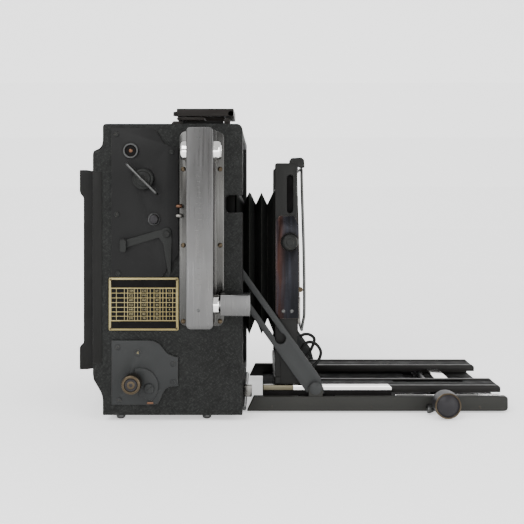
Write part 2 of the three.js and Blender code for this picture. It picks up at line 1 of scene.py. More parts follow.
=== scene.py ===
# Looks of the folding press camera: every visible piece, its materials, the light and the view.
# Shapes are drawn in millimetres from the body's front plane (X 0), middle plane (Y 0) and underside (Z 0).
from math import atan2, cos, pi, radians, sin, tau

import bmesh
import bpy
from mathutils import Matrix, Vector


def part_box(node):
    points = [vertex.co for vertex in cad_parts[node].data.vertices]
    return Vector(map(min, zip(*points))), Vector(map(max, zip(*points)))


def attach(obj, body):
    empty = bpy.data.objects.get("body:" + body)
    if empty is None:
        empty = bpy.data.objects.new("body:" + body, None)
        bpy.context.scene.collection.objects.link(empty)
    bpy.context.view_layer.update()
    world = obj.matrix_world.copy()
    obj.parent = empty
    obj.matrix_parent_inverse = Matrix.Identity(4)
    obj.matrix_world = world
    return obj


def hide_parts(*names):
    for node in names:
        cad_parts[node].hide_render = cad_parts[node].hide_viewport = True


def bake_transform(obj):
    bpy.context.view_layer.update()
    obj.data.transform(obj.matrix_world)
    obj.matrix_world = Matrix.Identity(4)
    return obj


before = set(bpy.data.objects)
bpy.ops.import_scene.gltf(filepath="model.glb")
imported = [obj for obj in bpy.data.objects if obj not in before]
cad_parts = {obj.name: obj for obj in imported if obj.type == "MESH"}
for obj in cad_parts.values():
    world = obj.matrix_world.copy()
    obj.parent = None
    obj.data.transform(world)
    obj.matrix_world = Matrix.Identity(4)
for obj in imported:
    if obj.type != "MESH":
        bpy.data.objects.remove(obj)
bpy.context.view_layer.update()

MM = 0.001
RIGHT, LEFT, TOP_PANEL = (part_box(n) for n in ("side_panel_right", "side_panel_left", "top_panel"))
ORIGIN = Vector((TOP_PANEL[1].x, (RIGHT[0].y + LEFT[1].y) / 2, RIGHT[0].z))
TO_FRAME = Matrix.Translation(ORIGIN) @ Matrix.Scale(MM, 4)
SIDES = (("right", -1), ("left", 1))
OUTWARD = {"-X": Vector((-1, 0, 0)), "-Y": Vector((0, -1, 0)), "Y": Vector((0, 1, 0))}

SKIN, PLATE = -90.3, -91.8      # inner and outer faces of the plates on the near side
BODY_TOP, BODY_BACK, LIP = 201, -96.3, -103.2
NUMBER_HEIGHT = 0.04            # half of the thickness of the numbers

# Axes that run along Y
WINDOW, WINDING, BUTTON = (-76.6, 0, 182.2), (-68, 0, 162.8), (-60.7, 0, 135.2)
NUMBER_WINDOW, TENSION, TENSION_PIVOT = (-72, 0, 43.1), (-74.5, 0, 24.1), (-63.8, 0, 19.3)
BRACE_STUD, BRACE_PIVOT = (-3, 0, 90.3), (52, 0, 13.2)
RISE_KNOB, PINION = (33.7, 0, 118), (142.3, 0, 5.8)
LENS = (0, 0, 101)              # the lens axis runs along X


# ---- materials
def srgb(r, g, b):
    """An 8-bit screen colour as linear RGBA."""
    def linear(c):
        c /= 255
        return c / 12.92 if c <= 0.04045 else ((c + 0.055) / 1.055) ** 2.4
    return (linear(r), linear(g), linear(b), 1)


def scaled(color, factor):
    return tuple(min(1, c * factor) for c in color[:3]) + (1,)


class Shader:
    """A Principled material with small helpers for its node tree."""

    def __init__(self, name):
        self.material = bpy.data.materials.new(name)
        self.material.use_nodes = True
        self.tree = self.material.node_tree
        self.main = self.tree.nodes["Principled BSDF"]
        self.place = self.node("TexCoord", "Object")
        self.bump_out = None

    def feed(self, node, inputs):
        """Set or link inputs of a node: each value is a number, a colour or another node's output."""
        for key, value in inputs.items():
            if isinstance(value, bpy.types.NodeSocket):
                self.tree.links.new(value, node.inputs[key])
            else:
                node.inputs[key].default_value = value

    def node(self, kind, output, inputs=None, **settings):
        """Add a node and return one of its outputs."""
        made = self.tree.nodes.new("ShaderNode" + kind)
        for key, value in settings.items():
            setattr(made, key, value)
        self.feed(made, inputs or {})
        return made.outputs[output]

    def stretched(self, scale, turn=(0, 0, 0)):
        """Coordinates turned first, then stretched, so that a grain can run on the slant."""
        sizes = tuple(1 / value for value in scale)
        return self.node("Mapping", "Vector", {"Vector": self.place, "Scale": sizes, "Rotation": turn},
            vector_type="TEXTURE")

    def noise(self, scale, detail=3, vector=None, distortion=0):
        return self.node("TexNoise", "Fac", {"Vector": vector or self.place, "Scale": scale,
            "Detail": detail, "Distortion": distortion})

    def span(self, value, low, high, out_low=0, out_high=1):
        return self.node("MapRange", "Result", {"Value": value, "From Min": low, "From Max": high,
            "To Min": out_low, "To Max": out_high})

    def across(self, low, high):
        """0 to 1 along X between two places given in millimetres."""
        x = self.node("SeparateXYZ", "X", {"Vector": self.place})
        return self.span(x, ORIGIN.x + low * MM, ORIGIN.x + high * MM)

    def mix(self, factor, a, b):
        return self.node("Mix", 2, {"Factor": factor, 6: a, 7: b}, data_type="RGBA")

    def times(self, a, b):
        return self.node("Math", 0, {0: a, 1: b}, operation="MULTIPLY")

    def bumped(self):
        """The normal after the bumps so far, as an input."""
        return {"Normal": self.bump_out} if self.bump_out else {}

    def bump(self, height, strength, distance):
        inputs = {"Strength": strength, "Distance": distance, "Height": height}
        self.bump_out = self.node("Bump", "Normal", {**inputs, **self.bumped()})

    def edges(self):
        """1 on sharp edges, 0 on flat faces."""
        softened = self.node("Bevel", "Normal", {"Radius": 0.0004}, samples=4)
        flat = self.node("NewGeometry", "Normal")
        agreement = self.node("VectorMath", "Value", {0: softened, 1: flat}, operation="DOT_PRODUCT")
        return self.span(agreement, 0.99, 0.86)

    def worn_edges(self, color, worn, patches, low, high):
        """The colour worn through on the edges, in patches of noise of one scale."""
        return self.mix(self.times(self.edges(), self.span(self.noise(patches, 4), low, high)), color, worn)

    def done(self, color, roughness, metallic=0, specular=0.5):
        self.feed(self.main, {"Base Color": color, "Roughness": roughness, "Metallic": metallic,
            "Specular IOR Level": specular, **self.bumped()})
        return self.material


def leather(name, base, worn, cell=1, rough=(0.5, 0.7)):
    """Pebbled leathercloth whose grain runs on the slant."""
    s = Shader(name)
    base = srgb(*base)
    pebbles = s.stretched((520 * cell, 900 * cell, 1300 * cell), (0, radians(42), 0))
    grain = s.node("TexVoronoi", "Distance", {"Vector": pebbles, "Scale": 1.0})
    cross = s.noise(1, 2, s.stretched((420 * cell, 700 * cell, 1500 * cell), (0, radians(-40), 0)))
    color = s.mix(s.span(s.noise(16, 2), 0.3, 0.7), base, scaled(base, 0.82))
    color = s.mix(s.span(grain, 0.1, 0.6), scaled(base, 2.6), color)
    color = s.mix(s.span(cross, 0.42, 0.6, 0, 0.75), color, scaled(base, 0.35))
    color = s.worn_edges(color, srgb(*worn), 120, 0.45, 0.65)
    s.bump(grain, 0.8, -0.0003)
    s.bump(cross, 0.4, -0.0002)
    return s.done(color, s.span(s.noise(60, 3), 0.3, 0.7, *rough), specular=0.13)


def paint(name, base, worn, rough=(0.36, 0.48), specular=0.12):
    """Old enamel: even in colour, rubbed through at its edges only."""
    s = Shader(name)
    base, worn = srgb(*base), srgb(*worn)
    color = s.mix(s.span(s.noise(26, 3), 0.3, 0.7), base, scaled(base, 1.14))
    scratches = s.noise(1, 3, s.stretched((2600, 300, 160), (0.2, 0.5, 0.3)))
    color = s.mix(s.span(scratches, 0.7, 0.76, 0, 0.16), color, worn)
    color = s.worn_edges(color, worn, 200, 0.46, 0.62)
    s.bump(s.noise(900, 2), 0.08, 0.00006)
    return s.done(color, s.span(s.noise(110, 4), 0.3, 0.7, *rough), specular=specular)


def metal(name, base, tarnish, rough=(0.24, 0.38), along=(40, 900, 900)):
    """Bare metal with fine brushing along one way, a little tarnish and a painted highlight along its sharp
    edges.
    """
    s = Shader(name)
    base, tarnish = srgb(*base), srgb(*tarnish)
    brushed = s.noise(1, 3, s.stretched(along))
    color = s.mix(s.span(s.noise(22, 3, distortion=0.3), 0.35, 0.75), base, tarnish)
    color = s.mix(s.span(brushed, 0.35, 0.7, 0, 0.25), color, scaled(base, 0.8))
    color = s.mix(s.span(s.noise(600, 3), 0.7, 0.78, 0, 0.3), color, scaled(tarnish, 0.4))
    # painted highlight: sharp edges are lightened to stand in for the light they catch
    color = s.mix(s.edges(), color, scaled(base, 1.6))
    s.bump(brushed, 0.12, 0.00005)
    return s.done(color, s.span(brushed, 0.3, 0.7, *rough), metallic=1)


def painted_reflection_plate():
    """Plated metal with a painted reflection: dark red towards the body and blue-grey towards the lens, with
    painted reflection streaks and a painted highlight on its edges.
    """
    s = Shader("painted_reflection_plate")
    # painted reflection: dark red towards the body, blue-grey towards the lens
    color = s.mix(s.across(24.5, 31), srgb(44, 28, 23), srgb(26, 26, 28))
    # painted reflection streaks in blue-grey, then a painted highlight on the sharp edges
    streaks = s.span(s.noise(1, 3, s.stretched((420, 300, 30))), 0.45, 0.7, 0, 0.7)
    color = s.mix(s.edges(), s.mix(streaks, color, srgb(38, 39, 44)), srgb(110, 102, 94))
    return s.done(color, s.span(s.noise(80, 3), 0.3, 0.7, 0.2, 0.32), metallic=1)


def bellows_cloth():
    s = Shader("bellows_cloth")
    weave = s.noise(1500, 2)
    color = s.mix(s.span(s.noise(30, 3), 0.3, 0.7), srgb(12, 13, 12), srgb(17, 18, 16))
    # painted highlight: the fold edges are lightened evenly
    color = s.mix(s.edges(), color, srgb(58, 58, 55))
    s.bump(weave, 0.3, 0.0001)
    return s.done(color, s.span(weave, 0.3, 0.7, 0.62, 0.85), specular=0.1)


def glass(name, tint, rough, clear):
    """Glass with faint smears: rough is its clean roughness, and clear is how much light goes through."""
    s = Shader(name)
    tint = srgb(*tint)
    smear = s.span(s.noise(90, 4), 0.3, 0.8, rough, rough + 0.12)
    s.feed(s.main, {"Transmission Weight": clear, "IOR": 1.5})
    return s.done(s.mix(s.span(s.noise(50, 3), 0.4, 0.7), tint, scaled(tint, 0.85)), smear)


LEATHER = leather("body_leather", (20, 21, 20), (52, 49, 43))
STRAP = leather("strap_leather", (24, 21, 18), (60, 50, 40), cell=1.4, rough=(0.4, 0.55))
BACK_PAINT = paint("back_paint", (14, 14, 13), (44, 43, 41), (0.4, 0.55))
BLACK = paint("black_paint", (20, 17, 15), (48, 42, 36))
DULL_BLACK = paint("dull_black_paint", (7, 7, 6), (20, 19, 17), (0.6, 0.75), specular=0.08)
PLATE_GREY = paint("plate_grey", (15, 15, 15), (52, 51, 49), (0.42, 0.52))
LEVER_GREY = paint("lever_grey", (24, 25, 24), (60, 58, 54), (0.38, 0.5))
TENSION_GREY = paint("tension_grey", (35, 36, 36), (72, 70, 66), (0.4, 0.5))
BED_GREY = paint("bed_grey", (33, 33, 31), (66, 58, 48), (0.4, 0.52))
BRACE_GREY = paint("brace_grey", (40, 41, 41), (72, 69, 63), (0.4, 0.5))
STANDARD_GREY = paint("standard_grey", (19, 19, 18), (56, 53, 48), (0.4, 0.52))
TRACK_GREY = paint("track_grey", (20, 19, 18), (56, 53, 48), (0.4, 0.5))
ALLOY = metal("brushed_alloy", (86, 86, 86), (78, 77, 76), along=(900, 900, 30))
POLISHED = metal("polished_alloy", (68, 68, 67), (58, 57, 55), (0.2, 0.32), along=(900, 900, 30))
CHROME = metal("chrome", (236, 236, 236), (222, 220, 214), (0.08, 0.16))
TINTED = metal("tinted_bar", (92, 88, 74), (78, 72, 58), (0.25, 0.36))
REFLECTION_PLATE = painted_reflection_plate()
STEEL = metal("dark_steel", (74, 75, 75), (56, 55, 53), (0.3, 0.44))
BRIGHT = metal("bright_steel", (116, 115, 112), (86, 83, 78), (0.2, 0.34))
BRASS = metal("old_brass", (134, 124, 88), (110, 98, 66), (0.3, 0.42))
BRONZE = metal("dark_bronze", (70, 62, 50), (48, 41, 33), (0.3, 0.44))
COPPER = metal("copper", (92, 68, 54), (66, 48, 38), (0.28, 0.42))
KNOB = paint("knob_black", (32, 31, 33), (58, 54, 48), (0.32, 0.42))
BELLOWS = bellows_cloth()
RUBBER = paint("cable_rubber", (12, 12, 12), (24, 24, 23), (0.45, 0.6))
LENS_GLASS = glass("window_glass", (190, 205, 210), rough=0.06, clear=0.6)
GROUND_GLASS = glass("ground_glass", (215, 222, 218), rough=0.45, clear=0.5)
PALE = paint("number_fill", (122, 114, 84), (100, 92, 70), (0.5, 0.6))
THREAD = paint("thread", (66, 58, 46), (48, 42, 34), (0.6, 0.7))
SLOT_DARK = paint("slot_dark", (7, 6, 6), (14, 13, 12), (0.6, 0.8), specular=0.08)


# ---- mesh helpers
def along(axis, a, b, c):
    """A point from its two places across an axis and its place along it."""
    return {"X": (c, a, b), "Y": (a, c, b), "Z": (a, b, c)}[axis]


def prism(points, low, high, axis="Y"):
    """An outline run along an axis. Points are (x, z) along Y, (y, z) along X and (x, y) along Z."""
    bm = bmesh.new()
    rings = [[bm.verts.new(along(axis, a, b, c)) for a, b in points] for c in (low, high)]
    bm.faces.new(rings[0])
    bm.faces.new(rings[1])
    wall(bm, *rings)
    return faced(bm)


def wall(bm, lower, upper):
    """Faces between two closed rings; a ring of one point is the tip of a cone."""
    count = max(len(lower), len(upper))
    for i in range(count):
        j = (i + 1) % count
        if len(lower) == 1:
            bm.faces.new((lower[0], upper[i], upper[j]))
        elif len(upper) == 1:
            bm.faces.new((lower[i], lower[j], upper[0]))
        else:
            bm.faces.new((lower[i], lower[j], upper[j], upper[i]))


def faced(bm):
    """The bmesh with its faces turned outward."""
    bmesh.ops.recalc_face_normals(bm, faces=bm.faces)
    return bm


def block(x0, x1, y0, y1, z0, z1):
    return prism([(x0, z0), (x1, z0), (x1, z1), (x0, z1)], y0, y1)


def arc(ca, cb, r, start, end, steps=8):
    """Points of an arc from one angle to another, in degrees."""
    angles = [radians(start + (end - start) * i / steps) for i in range(steps + 1)]
    return [(ca + r * cos(t), cb + r * sin(t)) for t in angles]


def rounded(a0, a1, b0, b1, r, steps=4):
    """Outline of a rectangle with round corners."""
    corners = ((a1 - r, b0 + r, -90), (a1 - r, b1 - r, 0), (a0 + r, b1 - r, 90), (a0 + r, b0 + r, 180))
    return [point for ca, cb, start in corners for point in arc(ca, cb, r, start, start + 90, steps)]


def curve_through(points, steps):
    """A smooth open line through the points (Catmull-Rom)."""
    points = [Vector(p) for p in points]
    ends = [2 * points[0] - points[1]] + points + [2 * points[-1] - points[-2]]
    out = []
    for a, b, c, d in zip(ends, ends[1:], ends[2:], ends[3:]):
        for k in range(steps):
            t = k / steps
            out.append(0.5 * (2 * b + (c - a) * t + (2 * a - 5 * b + 4 * c - d) * t * t + (3 * b - a - 3 * c
                + d) * t ** 3))
    return out + [points[-1]]


def lathe(profile, centre, steps=40, axis="Y", ribs=0, rib_depth=0, rib_span=(0, 0)):
    """A turned body: profile of (radius, distance along the axis) from the axis and back to it."""
    bm = bmesh.new()
    rings = []
    for index, (r, h) in enumerate(profile):
        ribbed = ribs and rib_span[0] <= index <= rib_span[1]
        ring = []
        for i in range(steps if r else 1):
            dip = rib_depth if ribbed and (i * ribs * 2 // steps) % 2 else 0
            t = tau * i / steps
            point = Vector(along(axis, (r - dip) * cos(t), (r - dip) * sin(t), h))
            ring.append(bm.verts.new(Vector(centre) + point))
        rings.append(ring)
    for lower, upper in zip(rings, rings[1:]):
        wall(bm, lower, upper)
    if len(rings[0]) > 1:
        wall(bm, rings[-1], rings[0])
    return faced(bm)


def rod(radius, low, high, centre, steps=28, axis="Y"):
    """A plain round bar."""
    return lathe([(0, low), (radius, low), (radius, high), (0, high)], centre, steps, axis)


def mirrored(profile, side):
    """A profile for one side of the camera, drawn for the left."""
    return [(r, side * h) for r, h in profile]


def tube(points, radius, sides):
    """A round wire along a list of points, its section carried without twist."""
    points = [Vector(p) for p in points]
    bm = bmesh.new()
    rings = []
    normal = None
    for behind, point, ahead in zip(points[:1] + points, points, points[1:] + points[-1:]):
        tangent = (ahead - behind).normalized()
        normal = normal or tangent.orthogonal().normalized()
        normal = (normal - tangent * normal.dot(tangent)).normalized()
        side = tangent.cross(normal)
        turns = [tau * k / sides for k in range(sides)]
        rings.append([bm.verts.new(point + radius * (cos(t) * normal + sin(t) * side)) for t in turns])
    for lower, upper in zip(rings, rings[1:]):
        wall(bm, lower, upper)
    bm.faces.new(rings[0])
    bm.faces.new(rings[-1])
    return faced(bm)


def merge(*parts):
    """Several bmeshes as one."""
    whole = bmesh.new()
    for part in parts:
        mesh = bpy.data.meshes.new("part")
        part.to_mesh(mesh)
        part.free()
        whole.from_mesh(mesh)
        bpy.data.meshes.remove(mesh)
    return whole


def moved(bm, matrix):
    bmesh.ops.transform(bm, matrix=matrix, verts=bm.verts)
    return bm


def new_object(name, data):
    made = bpy.data.objects.new(name, data)
    bpy.context.scene.collection.objects.link(made)
    return made


def as_object(bm, name):
    mesh = bpy.data.meshes.new(name)
    bm.to_mesh(mesh)
    bm.free()
    return new_object(name, mesh)


def finished_mesh(made):
    """The object's mesh with its modifiers applied."""
    bpy.context.view_layer.update()
    return bpy.data.meshes.new_from_object(made.evaluated_get(bpy.context.evaluated_depsgraph_get()))


def freeze(made):
    """Apply the modifiers."""
    mesh, old = finished_mesh(made), made.data
    made.modifiers.clear()
    made.data = mesh
    bpy.data.meshes.remove(old)


def cut(made, tool):
    """Take the tool's solid away from the object."""
    other = as_object(tool, made.name + "_tool")
    modifier = made.modifiers.new("cut", "BOOLEAN")
    modifier.operation, modifier.solver, modifier.object = "DIFFERENCE", "EXACT", other
    freeze(made)
    bpy.data.objects.remove(other)


def piece(name, bm, material, body="root", bevel=0, soft=0, segments=2, holes=(), replaces=(),
        subdivide=0, smooth_angle=40):
    """Make a finished piece from a bmesh in millimetres, with a bevel or a softer one of three steps."""
    made = as_object(bm, name)
    for tool in holes:
        cut(made, tool)
    if bevel or soft:
        modifier = made.modifiers.new("bevel", "BEVEL")
        modifier.width, modifier.segments = (soft, 3) if soft else (bevel, segments)
        modifier.limit_method, modifier.angle_limit = "ANGLE", radians(35)
        modifier.harden_normals = False
    if subdivide:
        made.modifiers.new("smooth", "SUBSURF").levels = subdivide
    freeze(made)
    made.name = made.data.name = name
    made.data.transform(TO_FRAME)
    made.data.materials.clear()
    made.data.materials.append(material)
    made.data.polygons.foreach_set("use_smooth", [True] * len(made.data.polygons))
    made.data.set_sharp_from_angle(angle=radians(smooth_angle))
    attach(made, body)
    if replaces:
        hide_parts(*replaces)
    return made


def span(side, a, b):
    """The stretch from a to b away from the middle plane, on one side, lowest first."""
    return (-b, -a) if side < 0 else (a, b)


def screw_head(centre, outward, radius, turn, height):
    """A domed screw head with a slot, which faces along one of the directions in OUTWARD."""
    profile = [(0, -0.3), (radius, -0.3), (radius, height * 0.35), (radius * 0.9, height * 0.7),
        (radius * 0.62, height * 0.93), (radius * 0.3, height), (0, height)]
    head = as_object(lathe(profile, (0, 0, 0), 24, "Z"), "screw")
    cut(head, block(-radius * 1.2, radius * 1.2, -0.22, 0.22, height * 0.35, height * 2))
    bm = bmesh.new()
    bm.from_mesh(head.data)
    bpy.data.objects.remove(head)
    facing = Matrix.Translation(centre) @ OUTWARD[outward].to_track_quat("Z", "Y").to_matrix().to_4x4()
    return moved(bm, facing @ Matrix.Rotation(radians(turn), 4, "Z"))


def screws(name, places, outward, material, radius, height, body="root"):
    heads = [screw_head(place, outward, radius, 25 + 47 * i, height) for i, place in enumerate(places)]
    piece(name, merge(*heads), material, body)


def lettering(name, items, size):
    """Plain numbers that face the near side: each item is (text, centre)."""
    whole = bmesh.new()
    for text, centre in items:
        data = bpy.data.curves.new(name, "FONT")
        data.body, data.size, data.extrude, data.resolution_u = text, size, NUMBER_HEIGHT, 2
        data.align_x, data.align_y = "CENTER", "CENTER"
        made = new_object(name, data)
        mesh = finished_mesh(made)
        bpy.data.objects.remove(made)
        mesh.transform(Matrix.Translation(centre) @ Matrix.Rotation(pi / 2, 4, "X"))
        whole.from_mesh(mesh)
        bpy.data.meshes.remove(mesh)
    bmesh.ops.remove_doubles(whole, verts=whole.verts, dist=1e-5)
    piece(name, whole, PALE)


# ---- body
def body_outline():
    """Side view of the case, with the round front corner and the ogee that leads to the rear lip."""
    points = [(0, 0), (0, BODY_TOP - 4)]
    points += arc(-4, BODY_TOP - 4, 4, 0, 90)[1:]
    points += arc(BODY_BACK + 2, BODY_TOP - 2, 2, 90, 180, 4)
    points += [(BODY_BACK, 189.5), (-96.9, 186.3), (-98.6, 184.1), (-101, 183)]
    points += [(-102.6, 182.2), (LIP, 180)]
    points += [(LIP, 28.3), (-102.6, 24.4), (-100.4, 20.7), (-98, 16.6), (-96.7, 13), (BODY_BACK, 10.4),
        (BODY_BACK, 0)]
    return points


def case():
    notch = prism(rounded(-12, 8, 139.4, 151.8, 3), -95, -60)
    for name, side in SIDES:
        low, high = span(side, 68, 90)
        holes = [notch] if side < 0 else []
        if side < 0:
            holes.append(rod(3.6, -95, -60, WINDING, 24))
        piece(f"case_{name}", prism(body_outline(), low, high), LEATHER, bevel=1.5,
            segments=4, holes=holes, replaces=[f"side_panel_{name}"])
        stud = [(0, 68), (2, 68), (2, 59.5), (3.1, 59.5), (3.1, 58.5), (2.2, 58), (0, 58)]
        piece(f"brace_stud_{name}", lathe(mirrored(stud, side), BRACE_STUD, 24), STEEL)
    top = [(0, 192), (0, 197), (-1.2, 199.8), (-4, 201), (-94.3, 201), (-95.8, 199), (-95.8, 192)]
    piece("case_top", prism(top, -67.9, 67.9), LEATHER, bevel=0.5, replaces=["top_panel"])
    piece("case_bottom", block(-95.8, 0, -67.7, 67.7, 0, 9), DULL_BLACK, bevel=0.6,
        holes=[rod(9.3, -2, 12, (-48, 0, 0), 40, "Z")], replaces=["bottom_panel"])
    for index, (x, y) in enumerate([(x, y) for x in (-85.3, -25.1) for y in (-80, 80)], 1):
        dome = [(0, -4.4), (1.9, -4.35), (2.7, -3.9), (3.15, -3.1), (3.2, -2.2), (2.8, -1.2), (3.2, -0.9),
            (3.2, -0.1), (0, -0.1)]
        piece(f"foot_stud_{index}", lathe(dome, (x, y, 0), 28, "Z"), STEEL, replaces=[f"foot_{index}"])
    for name, side in SIDES:
        trim = block(-12, -6, *span(side, 66.4, 67.9), 5, 186)
        piece(f"inner_track_{name}", trim, DULL_BLACK, bevel=0.3)
    # painted shadow: a thin dark strip on the lip's near face stands in for the shadow gap in front of the
    # back
    piece("rear_painted_shadow", block(-103, -96.8, -90.5, -89.9, 36, 168), BACK_PAINT,
        bevel=0.25)
    catch = prism(rounded(-30, -18, -11, 11, 3), 200.6, 202.2, "Z")
    piece("bed_button_plate", moved(catch, Matrix.Translation((0, 40, 0))), BLACK,
        bevel=0.4)
    dome = [(0, 202.1), (4.2, 202.1), (4.4, 203.4), (3.6, 204.3), (1.8, 204.8), (0, 204.9)]
    piece("bed_button", lathe(dome, (-24, 40, 0), 32, "Z"), BRIGHT)


def shutter_inside():
    """New materials for the CAD nodes that stay as they are."""
    looks = (("shutter_frame shutter_front_plate", DULL_BLACK), ("shutter_curtain", RUBBER),
        ("curtain_roller_upper curtain_roller_lower bed_hinge_rod pinion_shaft", STEEL),
        ("rangefinder_mirror rangefinder_swing_mirror", CHROME), ("tripod_bush", BRIGHT),
        ("ground_glass", GROUND_GLASS))
    for names, material in looks:
        for name in names.split():
            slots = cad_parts[name].data.materials
            slots.clear()
            slots.append(material)


# ---- plates on the near side
def upper_plate():
    line = [(-90, 95.2), (-57.6, 95.2), (-55.2, 96), (-53.6, 98), (-52, 101.6), (-49.6, 104.8),
        (-46.6, 107.6), (-44.6, 110), (-44, 112.6), (-44, 184.7), (-47, 185.2), (-51, 185.6), (-53.8, 187),
        (-55.6, 189.4), (-57.2, 192.4), (-59.4, 196), (-62.2, 198), (-90, 198)]
    holes = [rod(3.5, -93, -88, BUTTON), rod(3.6, -93, -88, WINDING)]
    piece("shutter_plate", prism(line, PLATE, SKIN), PLATE_GREY, bevel=0.35, holes=holes,
        replaces=["upper_shutter_plate"])
    rim = [(5.3, -91.9), (5.3, -93.2), (4.9, -93.7), (4.2, -93.7), (3.9, -93.2), (3.9, -91.9)]
    piece("window_ring", lathe(rim, WINDOW, 48), STEEL, smooth_angle=30)
    piece("window_glass", lathe([(0, -92.9), (3.9, -92.8), (3.9, -92.4), (0, -92.4)], WINDOW, 32), SLOT_DARK)
    piece("window_pin", lathe([(0, -93.5), (0.8, -93.5), (1.3, -93.1), (1.3, -92.7), (0, -92.7)],
        WINDOW, 20), COPPER)
    places = [(-86.6, -91.8, 193.8), (-86.2, -91.8, 138.6), (-85.3, -91.8, 97.9), (-48.6, -91.8, 181.4)]
    screws("shutter_plate_screws", places, "-Y", LEVER_GREY, 1.9, 0.8)
    rim = [(3.4, -91.7), (4.3, -91.7), (4.3, -92.1), (3.9, -92.4), (3.4, -92.3)]
    piece("button_ring", lathe(rim, BUTTON, 32), STEEL)


def winding_key():
    x, _, z = WINDING
    disc = [(0, -62.6), (3, -62.6), (3, -92.3), (7, -92.3), (7.2, -92.7), (7.2, -94.2), (6.7, -94.7),
        (5.6, -94.9), (5.3, -95.6), (4.6, -96), (2.6, -96.1), (2.4, -96.6), (0, -96.6)]
    piece("winding_shaft", lathe(disc, WINDING, 48), LEVER_GREY, "winding", replaces=["winding_key"])
    outline = arc(12.4, 0, 3.1, -80, 80, 6) + arc(0, 0, 4.1, 62, 118, 4) + arc(-12.4, 0, 3.1, 100, 260, 6) \
        + arc(0, 0, 4.1, 242, 298, 4)
    blade = prism([(a, b * 1.2) for a, b in outline], -0.8, 0.8, "Z")
    turn = Matrix.Translation((x, -100.1, z)) @ Matrix.Rotation(radians(45), 4, "Y")
    piece("key_wing", moved(blade, turn), STEEL, "winding", soft=0.45)
    teeth = 33
    points = []
    for i in range(teeth):
        for r, t in ((15.4, -0.27), (17.2, -0.11), (17.2, 0.11), (15.4, 0.27)):
            a = tau * (i + t) / teeth + atan2(15.467, -19)
            points.append((x + r * cos(a), z + r * sin(a)))
    piece("winding_gear", prism(points, -66.5, -62.5), BRASS, "winding", bevel=0.15)


def release_levers():
    low, high = -93.7, -92.1
    arm = [(-83.4, 119.2), (-81.8, 120.6), (-55.5, 128.2), (-53, 129.6), (-50.6, 129.6), (-48.8, 127.6),
        (-48.2, 122), (-48.9, 98.4), (-49.8, 96.9), (-50.9, 98.4), (-54.4, 118.6), (-57.2, 122.6),
        (-79.4, 115.8), (-81.4, 113.4), (-83.2, 114.2)]
    piece("release_arm", prism(arm, low, high), LEVER_GREY, "release", soft=0.35, replaces=["release_lever"])
    tip = prism(rounded(-83.6, -79.2, 112.6, 121.6, 1.6), -96.6, -93.6)
    piece("release_tip", tip, LEVER_GREY, "release", soft=0.5)
    piece("release_pivot", screw_head((-51.6, -93.7, 125), "-Y", 2.5, 20, 1), LEVER_GREY, "release")
    cap = [(0, -80), (1.8, -80), (1.8, -93.4), (2.9, -93.6), (3.1, -94.2), (2.8, -95), (1.9, -95.4),
        (0, -95.5)]
    piece("button_cap", lathe(cap, BUTTON, 32), KNOB, "button", replaces=["shutter_button"])
    disc = arc(-70, 20.7, 12.4, -52, 100, 14) + [(-73.4, 33), (-73.8, 29.6), (-71.2, 28.4), (-69.3, 25.6),
        (-69.2, 22.4), (-70.2, 19.6), (-70.6, 14)]
    piece("tension_lever", prism(disc, -93.5, -92.1), TENSION_GREY, "tension_release", bevel=0.35,
        replaces=["tension_release_lever"])
    head = [(0, -93.4), (3.6, -93.4), (3.6, -94.2), (3.1, -94.9), (1.8, -95.2), (0, -95.3)]
    slot = block(-9, 9, -97, -94.5, -0.45, 0.45)
    moved(slot, Matrix.Translation(TENSION_PIVOT) @ Matrix.Rotation(radians(-40), 4, "Y"))
    piece("tension_lever_screw", lathe(head, TENSION_PIVOT, 36), TENSION_GREY, "tension_release",
        holes=[slot])
    tab = prism([(-65.6, 8.2), (-61, 8.2), (-61.4, 9.6), (-65.2, 9.6)], -92.6, -91.9)
    piece("tension_tab", tab, COPPER, bevel=0.15)


def speed_table():
    x0, x1, z0, z1 = -91.8, -43.9, 58.7, 94.9
    piece("speed_plate", prism(rounded(x0, x1, z0, z1, 0.8), PLATE, SKIN), BRASS, bevel=0.2,
        replaces=["speed_table"])
    columns = (-90.3, -86.6, -81.1, -78.9, -74.1, -72, -69.8, -65.4, -63.3, -60.7, -56.6, -54.6, -52.3,
        -47.9, -45.5)
    rows = (65.6, 68.5, 71.5, 74.6, 77.9, 81.1, 84.4, 87.6)
    speeds = "1000 825 680 550 440 350 295 235 195 160 135 110 80 70 65 50 40 35 30 25 20 15 10 8 6 4 2 1"
    fields = [block(a + 0.2, b - 0.2, PLATE - 0.1, PLATE + 0.4, c + 0.2, d - 0.2)
        for a, b in zip(columns, columns[1:]) for c, d in zip(rows, rows[1:])]
    fields += [block(-90.3, -45.5, PLATE - 0.1, PLATE + 0.4, c, d) for c, d in ((60, 65.1), (88.1, 93.6))]
    piece("speed_fields", merge(*fields), SLOT_DARK)
    middles = [(low + high) / 2 for low, high in zip(rows, rows[1:])][::-1]
    places = [(x, PLATE - 0.12, z) for x in (-76.5, -67.6, -58.65, -50.1) for z in middles]
    lettering("speed_numbers", zip(speeds.split(), places), 2.1)
    pins = [lathe([(0, 0), (0.75, 0), (0.7, -0.5), (0.35, -0.7), (0, -0.75)], (x, PLATE, z), 16)
        for x in (x0 + 1.3, x1 - 1.3) for z in (z0 + 1.3, z1 - 1.3)]
    piece("speed_pins", merge(*pins), BRONZE)


